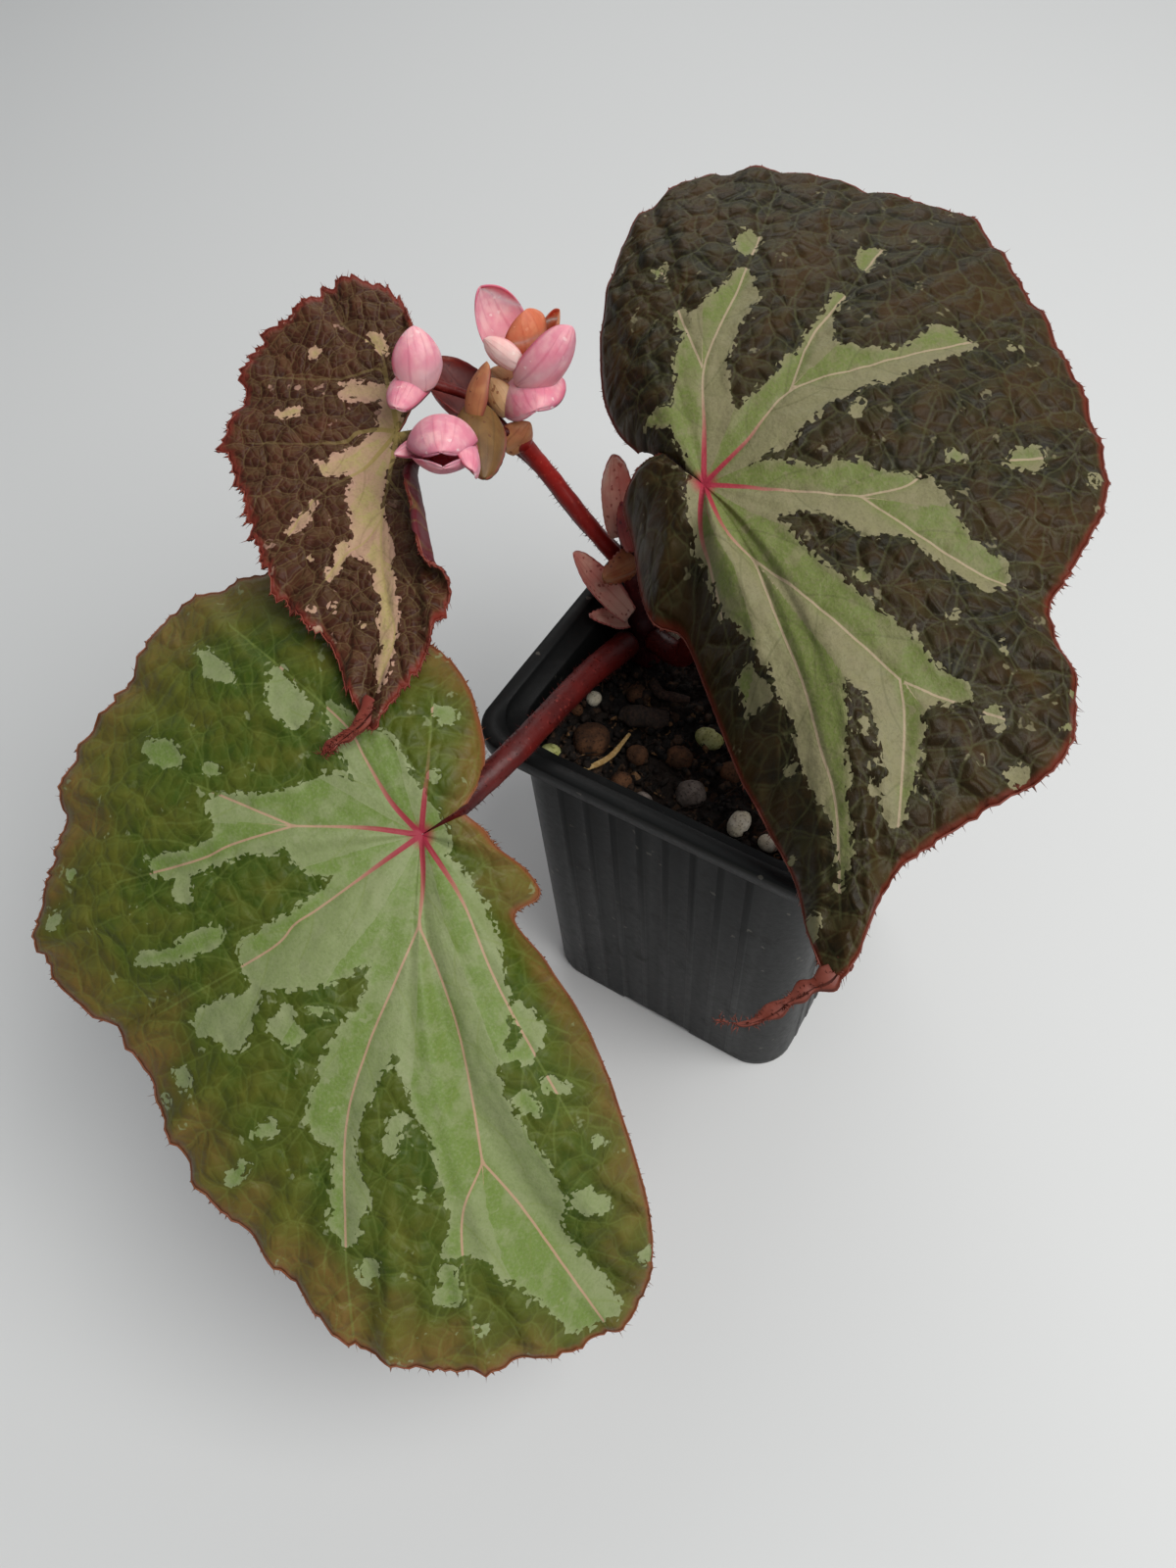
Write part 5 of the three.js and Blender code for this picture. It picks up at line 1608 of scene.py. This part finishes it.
class Grit(Enum):
    """The kinds of grit.

    Each is its material slot, its main, light and dark colours, how rough its surface is, and
    how deep its dents are, from 0 to 1.
    """

    BROWN = ("brown_stone", "3e2717", "624028", "1f130c", 0.8, 0.5)
    GREY = ("grey_stone", "564c46", "857a72", "332d2a", 0.85, 0.5)
    PALE = ("pale_stone", "cfc6ae", "e6e0cf", "9a8f78", 0.8, 0.22)
    GREEN = ("green_stone", "9fa25e", "c3c58c", "6f6f3a", 0.55, 0.12)

    @property
    def slot(self) -> str:
        """The record's material slot."""
        return self.value[0]

    @property
    def dents(self) -> float:
        """How deep the dents are, from 0 to 1."""
        return self.value[5]

    def material(self) -> bpy.types.Material:
        """A rough, pitted, mottled stone."""
        _, main, light, dark, rough, _ = self.value
        make = Recipe(f"{self.slot}_grain", Specular_IOR_Level=0.3)
        where = make.solid()
        broad = make.cloud(where, 3.2, 4)
        fine = make.cloud(where, 0.5, 4, 0.7)
        pits = make.step(Wire(make, make.cells(where, 0.8).outputs["Distance"]), 0.3, 0.05)
        colour = make.mix(make.step(broad, 0.38, 0.66), tint(main), tint(light))
        colour = make.mix(make.step(fine, 0.52, 0.68), colour, tint(dark))
        colour = make.mix(0.7 * pits, colour, tint(dark))
        make.bump(fine - 0.6 * pits, 0.3, 0.8)
        return make.wear(Base_Color=colour, Roughness=(rough - 0.12) + 0.3 * fine)


@dataclass
class Stone:
    """One stone or granule, made to the box of its solid."""

    node: str
    kind: Grit
    material: bpy.types.Material

    def build(self) -> bpy.types.Object:
        """Builds the stone and returns the piece."""
        work = Workpiece()
        low, high = (Vector(corner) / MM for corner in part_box(self.node))
        middle, half = (low + high) / 2, (high - low) / 2
        shift = Vector((len(self.node), float(self.node[-2:]) * 3.7, 1.9))
        bmesh.ops.create_icosphere(work.mesh, subdivisions=4, radius=1.0)
        for vert in work.mesh.verts:
            way = vert.co.normalized()
            lumps = noise.noise(way * 1.3 + shift)
            facets = noise.voronoi(way * 1.1 + shift)[0][0]
            depth = self.kind.dents
            grain = depth * 0.35 * noise.turbulence(way * 3.2 + shift, 4, True)
            size = 0.97 - 0.16 * depth * (1 - lumps) - 0.12 * depth * facets
            spot = Vector(way[k] * half[k] for k in range(3)) * size
            vert.co = (middle + spot - way * grain * min(1.0, half.x / 3)) * MM
        return work.settle(f"{self.node}_grain", [self.material], [self.node])


@dataclass
class Litter:
    """A loose bit lying on the mix."""

    node: str
    points: list[Point]
    radii: list[float]
    slot: str
    main: str
    light: str
    flatness: float
    rough: float

    def build(self) -> bpy.types.Object:
        """Builds the bit and returns the piece."""
        work = Workpiece()
        work.tube(self.points, self.radii, 40, 18, self.flatness, self.rough)
        make = Recipe(f"{self.node}_fibre", Roughness=0.85)
        where = make.solid()
        fine = make.cloud(where, 0.6, 5, 0.7)
        colour = make.mix(make.step(fine, 0.4, 0.65), tint(self.main), tint(self.light))
        make.bump(fine, 0.4, 0.9)
        return work.settle(f"{self.node}_bit", [make.wear(Base_Color=colour)],
                           [self.node])


# ------------------------------------------------------------------ studio


@dataclass
class Studio:
    """A plain pale floor, soft light and the photo's point of view."""

    eye: Point = (46.2, -105.9, 222.6)
    right: Point = (0.8490, 0.5252, -0.0581)
    down: Point = (0.4069, -0.7199, -0.5623)
    ahead: Point = (-0.3371, 0.4538, -0.8249)
    lens: float = 24.9
    floor_reach: float = 4.0
    sky_strength: float = 0.37

    def build(self) -> None:
        """Sets up the floor, the lights and the camera."""
        work = bmesh.new()
        bmesh.ops.create_grid(work, x_segments=1, y_segments=1, size=self.floor_reach)
        data = bpy.data.meshes.new("floor")
        work.to_mesh(data)
        work.free()
        make = Recipe("floor_paper", Roughness=0.8)
        data.materials.append(make.wear(Base_Color=tint("d2d3d3")))
        floor = bpy.data.objects.new("floor", data)
        bpy.context.scene.collection.objects.link(floor)
        self.light("soft_box", (0.46, 0.02, 0.72), (0, -0.02, 0.09), 0.6, 6.9)
        self.light("fill", (-0.3, 0.6, 0.6), (0, 0, 0.08), 0.6, 1.8)
        world = bpy.data.worlds.new("room")
        world.use_nodes = True
        room = world.node_tree.nodes["Background"]
        room.inputs["Color"].default_value = tint("dfe3e6")
        room.inputs["Strength"].default_value = self.sky_strength
        bpy.context.scene.world = world
        bpy.context.scene.view_settings.view_transform = "Standard"
        lens = bpy.data.cameras.new("camera")
        lens.lens = self.lens
        lens.clip_start = 0.01
        camera = bpy.data.objects.new("camera", lens)
        turn = Matrix((self.right, -Vector(self.down), -Vector(self.ahead))).transposed()
        camera.matrix_world = Matrix.Translation(Vector(self.eye) * MM) @ turn.to_4x4()
        bpy.context.scene.collection.objects.link(camera)
        bpy.context.scene.camera = camera

    def light(self, name: str, place: Point, aim: Point, size: float, power: float) -> None:
        """Adds a square soft light that looks at a place.

        Args:
            name: its name.
            place: where it is, in metres.
            aim: what it looks at.
            size: how wide it is.
            power: its power in watts.
        """
        lamp = bpy.data.lights.new(name, "AREA")
        lamp.size = size
        lamp.energy = power
        lamp.color = (1.0, 0.99, 0.97)
        holder = bpy.data.objects.new(name, lamp)
        way = Vector(aim) - Vector(place)
        turn = way.to_track_quat("-Z", "Y").to_matrix().to_4x4()
        holder.matrix_world = Matrix.Translation(place) @ turn
        bpy.context.scene.collection.objects.link(holder)


# ------------------------------------------------------------------ the plant

GREEN_LEAF = LeafFinish("leaf_green", "37490b", "555719", "6e5529", "7c4a2a", "687c3c",
                        "868d66", "6e7c3c", "b48c78", "92283a", "6a3430", "7c4630",
                        rim_width=0.8, net=0.2, sheen_side=1.0, sheen=0.6, gloss=0.2,
                        puff=0.28, cell=4.8, brown=23.0, twigs=0.25)
DARK_LEAF = LeafFinish("leaf_dark", "1b1706", "38260c", "4a2e0e", "64281a", "66703a",
                       "7e775a", "4e4f30", "a8937c", "962a3c", "5e2830", "743a2e",
                       rim_width=0.8, net=0.35, sheen_side=-1.0, sheen=0.8, gloss=0.16,
                       puff=0.5, cell=5.2, brown=14.0, twigs=0.3)
BROWN_LEAF = LeafFinish("leaf_brown", "381c10", "4e2a1a", "5a2e20", "722c22", "a39460",
                        "b08a78", "746440", "a08e5c", "94824c", "4e1424", "7c3a2c",
                        rim_width=1.0, net=0.35, sheen_side=1.0, sheen=0.5, gloss=0.16,
                        puff=0.32, cell=3.0, brown=12.0, twigs=0.1)

PETIOLE_SKIN = SkinFinish("petiole", "5a130f", "3c0c0b", "8a342c")
PEDUNCLE_SKIN = SkinFinish("petiole", "8a140c", "6a0e0a", "b04432")
STEM_SKIN = SkinFinish("stem", "521418", "360c12", "803632")
STIPULE_SHEET = PetalFinish("stipule", "c8857a", "dcae9c", "9c3a3c", "a8544c", "8e3430", 0.05)
STIPULE_WORN = PetalFinish("stipule", "9a5c3c", "b07a50", "7a3426", "6e3a26", "5a2c20", 0.05)
STIPULE_DARK = PetalFinish("stipule", "7c2c30", "98443c", "58181e", "5a1c20", "4a181a", 0.02)
BRACT_SHEET = PetalFinish("bract", "96583a", "b07a50", "7a3430", "6a3420", "5a241a", 0.02)
BRACT_DARK = PetalFinish("bract", "5e2320", "7a3830", "3c1216", "401418", "4a181a", 0.02)
BRACT_OLIVE = PetalFinish("bract", "624624", "78592f", "8a3a34", "4a3a1e", "5a3020", 0.02)
PETAL_LOOKS = {
    "pink": PetalFinish("petal", "da8296", "eab0b4", "c45470", "c05874", "f0d0d0", 0.01, 0.4),
    "orange": PetalFinish("petal", "c86e4e", "d8906a", "b04a30", "b45a40", "f0c0a0", 0.01, 0.4),
    "pale": PetalFinish("petal", "e6b0ac", "eeccc4", "d07e86", "ca8088", "f8e8e0", 0.01, 0.3),
    "beige": PetalFinish("petal", "b88a5e", "cca67c", "a0603c", "946040", "7a4428", 0.03, 0.2),
}

PETIOLES = [
    Stalk("petiole_left", [(-22, 1.2, 79.5), (-21.5, -12, 85), (-20.5, -34, 90.8),
                           (-23, -45.5, 89.6), (-25, -51, 87.4)],
          [2.55, 2.2, 2.1, 2.1, 1.8], PETIOLE_SKIN, 0.9, 420),
    Stalk("petiole_right", [(-18.8, 5.8, 77.8), (-11.8, 3.2, 80.5), (-9.8, 3.8, 90),
                            (-9.6, 5.4, 106), (-9.4, 4.1, 116.8)],
          [2.3, 2.0, 1.9, 1.9, 1.9], PETIOLE_SKIN, 1.0, 300),
    Stalk("petiole_small", [(-27.4, 10.8, 88.2), (-37.6, 12.2, 93.8), (-48.6, 13.6, 102),
                            (-56, 7.6, 109), (-57.7, -6, 113.8)],
          [1.6, 1.35, 1.3, 1.3, 1.3], PETIOLE_SKIN, 1.0, 300),
    Stalk("peduncle", [(-27.6, 8.3, 91.5), (-33, 7.4, 98.5), (-38.8, 7, 105.5),
                       (-42.4, 4.8, 113)], [1.45, 1.4, 1.5], PEDUNCLE_SKIN, 0.6, 120, 2.0),
]

SCALES = [
    Scale("stipule_boat", Petal((-22.2, 2.6, 85), (-32.7, 2.9, 95), (0.34, 0.12, 0.9),
                                7.4, 0.95, 0.6, 0.5, 0.2, 0.1), STIPULE_SHEET),
    Scale("stipule_low", Petal((-22.8, 3.4, 82.5), (-27.4, -1.3, 86.5), (0.15, 0.05, 0.94),
                               4.5, 1, 0.5, 0.7, 0.15, 0.25), STIPULE_SHEET),
    Scale("stipule_collar", Petal((-23.2, 11.8, 92), (-26.4, 2.1, 93), (-0.56, 0.67, -0.37),
                                  6, 1, 0.9, 0.45, 0.3, 0.4), STIPULE_WORN),
    Scale("stipule_top", Petal((-27, 8.1, 97), (-30.6, 13.3, 108.5), (0.68, -0.27, 0.66),
                               7.4, 1.1, 0.7, 0.42, 0.2, 0.1), STIPULE_SHEET),
    Scale("stipule_inner", Petal((-22.7, 5.3, 98), (-26.8, 9.2, 103.5), (0, 0.3, -0.92),
                                 4, 1.1, 0.6, 0.6, 0.15, 0.1), STIPULE_DARK),
    Scale("bract_back", Petal((-47.3, 3, 114.5), (-60.1, 7.1, 120.5), (0.39, 0.23, 0.88),
                              15, 1.1, 0.9, 0.45, 0.25, 0.1), BRACT_DARK),
    Scale("bract_rolled", Petal((-46.7, -1.7, 119), (-46.3, 4.4, 126), (0.51, 0.55, -0.51),
                                7, 1.25, 1.2, 0.45, 0.1), BRACT_SHEET),
    Scale("bract_front", Petal((-48.6, 3.4, 119), (-38.7, -9.3, 117.5), (-0.55, 0.45, -0.62),
                               10, 1.2, 1.2, 0.5, 0.2, 0.1), BRACT_OLIVE),
    Scale("bract_small", Petal((-42.9, 2, 112.5), (-40.5, 5.5, 116.5), (-0.78, 0.27, -0.38),
                               6.5, 1.1, 0.9, 0.5, 0.15), BRACT_SHEET),
]

FLOWERS = [
    Flower("flower_left", {"pink": [
        Petal((-53.6, -2.6, 123.1), (-56.6, 1.3, 130.6), (-0.56, 0.15, -0.78),
              10.4, 1.25, 1.7, 0.32),
        Petal((-58.6, 2.6, 121.1), (-53.9, -8.7, 124.1), (-0.36, 0.71, -0.55),
              7.6, 1.2, 1.3, 0.34)]},
        (-56.2, 0.6, 122.1), (1.8, 1.8, 1.8),
        [(-44.6, 4.4, 114.6), (-49.8, 5.2, 117.3), (-55.5, 0.4, 122.1)], "d87a4a"),
    Flower("flower_lower", {"pink": [
        Petal((-48.2, -5.7, 120.5), (-40, -15.9, 126.5), (-0.07, 0, -0.94),
              13.5, 1.25, 1.7, 0.3),
        Petal((-47.8, -6.6, 119.5), (-48.6, -16.2, 123), (0.09, -0.06, -0.92),
              6.5, 1.1, 0.8, 0.6),
        Petal((-47.5, -6.5, 118.5), (-39, -17, 125), (0, 0.11, 0.91),
              11, 0.9, 1.1, 0.32),
        Petal((-45.7, -6.2, 120.5), (-35.6, -14.8, 124), (-0.76, -0.17, -0.51),
              7.5, 1.2, 1, 0.4)]},
        (-47, -6.6, 119.8), (2, 2, 2),
        [(-43, 3.4, 115.2), (-45.1, 0, 117), (-47.5, -5.9, 119.5)], "9a3c20"),
    Flower("flower_open", {
        "pink": [
            Petal((-48.5, 13.3, 120.9), (-53.2, 13.6, 131), (0.71, -0.22, 0.62),
                  11, 1.15, 0.9, 0.34),
            Petal((-42.2, 6.9, 120.5), (-36.5, 13.1, 129.5), (-0.84, 0.37, -0.36),
                  9.5, 1.3, 1.5, 0.32),
            Petal((-46.6, 13.3, 119.5), (-38.1, 4.2, 120.5), (-0.46, 0.68, -0.59),
                  14, 1.2, 1.2, 0.28)],
        "pale": [
            Petal((-42.8, 7.5, 124.5), (-47.4, 5.8, 128.5), (-0.27, 0.78, -0.31),
                  5, 1.2, 1, 0.4)],
        "beige": [
            Petal((-44.9, 9.3, 118), (-48.6, 7.5, 122), (0, 0.89, -0.24), 6, 1.1, 0.9, 0.45),
            Petal((-43.6, 4.6, 117.8), (-47.9, 6.2, 121.5), (0, 0.52, -0.68),
                  5, 0.9, 0.6, 0.6)],
        "orange": [
            Petal((-43.3, 12.4, 123.5), (-44.1, 12.2, 130.5), (-0.25, 0.12, -0.86),
                  10.5, 1.2, 1.5, 0.34),
            Petal((-44, 14.9, 122.5), (-40, 15.2, 130), (-0.54, -0.16, -0.72),
                  5.5, 1.1, 0.9, 0.6)]},
        (-45.8, 12.4, 121), (3.4, 3.4, 2.8),
        [(-42.2, 5, 115.4), (-43.1, 5.4, 118), (-44.9, 10.9, 120.5)], "d86a3a"),
]

LITTER = [
    Litter("bark_chip", [(-17.6, -8.4, 73.6), (-13.6, -7.6, 74.2), (-9.6, -5.6, 73.8)],
           [1.3, 2.0, 1.9, 2.0, 1.2], "bark", "1c120c", "3c2a1e", 0.7, 0.7),
    Litter("twig", [(-16.2, 0.4, 73.4), (-13.4, -1.4, 73.8), (-8.6, 0, 73.4)],
           [0.8, 0.9, 0.85, 0.7], "bark", "2a1a14", "4e382a", 0.9, 0.2),
    Litter("straw", [(-17.8, -23, 73.4), (-14.5, -18, 73.8), (-14, -11.4, 73.4)],
           [0.3, 0.5, 0.5, 0.25], "straw", "a8854e", "c8aa74", 0.55, 0.08),
]

GRIT_KINDS = {
    Grit.BROWN: (1, 4, 6, 7, 8, 9, 14, 15, 16, 17, 19, 21, 23),
    Grit.PALE: (2, 12, 13, 20, 24),
    Grit.GREEN: (3, 5),
    Grit.GREY: (10, 11, 18, 22),
}


def main() -> None:
    """Builds the studio and every piece of the plant."""
    logging.basicConfig(level=logging.INFO, format="%(name)s: %(message)s")
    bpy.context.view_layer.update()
    Studio().build()
    Pot().build()
    PottingMix().build()
    for kind, numbers in GRIT_KINDS.items():
        material = kind.material()
        for number in numbers:
            Stone(f"stone_{number:02d}", kind, material).build()
    for part in (*LITTER, Stem(STEM_SKIN), *PETIOLES, *SCALES, *FLOWERS):
        part.build()
    Leaf(**LEFT_LEAF, finish=GREEN_LEAF, blister=0.45, cell_size=6.0, lobe=0.8, tooth=0.7,
         tooth_pitch=2.6, frill=0.9, bead=0.15, seed=1.7).build()
    Leaf(**RIGHT_LEAF, finish=DARK_LEAF, blister=0.5, cell_size=5.6, lobe=0.35, tooth=0.5,
         bead=0.17, spikes=0.4, seed=4.1).build()
    Leaf(**SMALL_LEAF, finish=BROWN_LEAF, blister=0.3, cell_size=3.6, columns=440, rings=56,
         lobe=2.1, lobe_pitch=5.2, tooth=1.2, tooth_pitch=1.8, frill=0.6,
         curl=(0.07, 0.27, 3.2, 1.1), bead=0.12, seed=7.3, full_reach=16).build()
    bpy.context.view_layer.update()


if __name__ == "__main__":
    main()
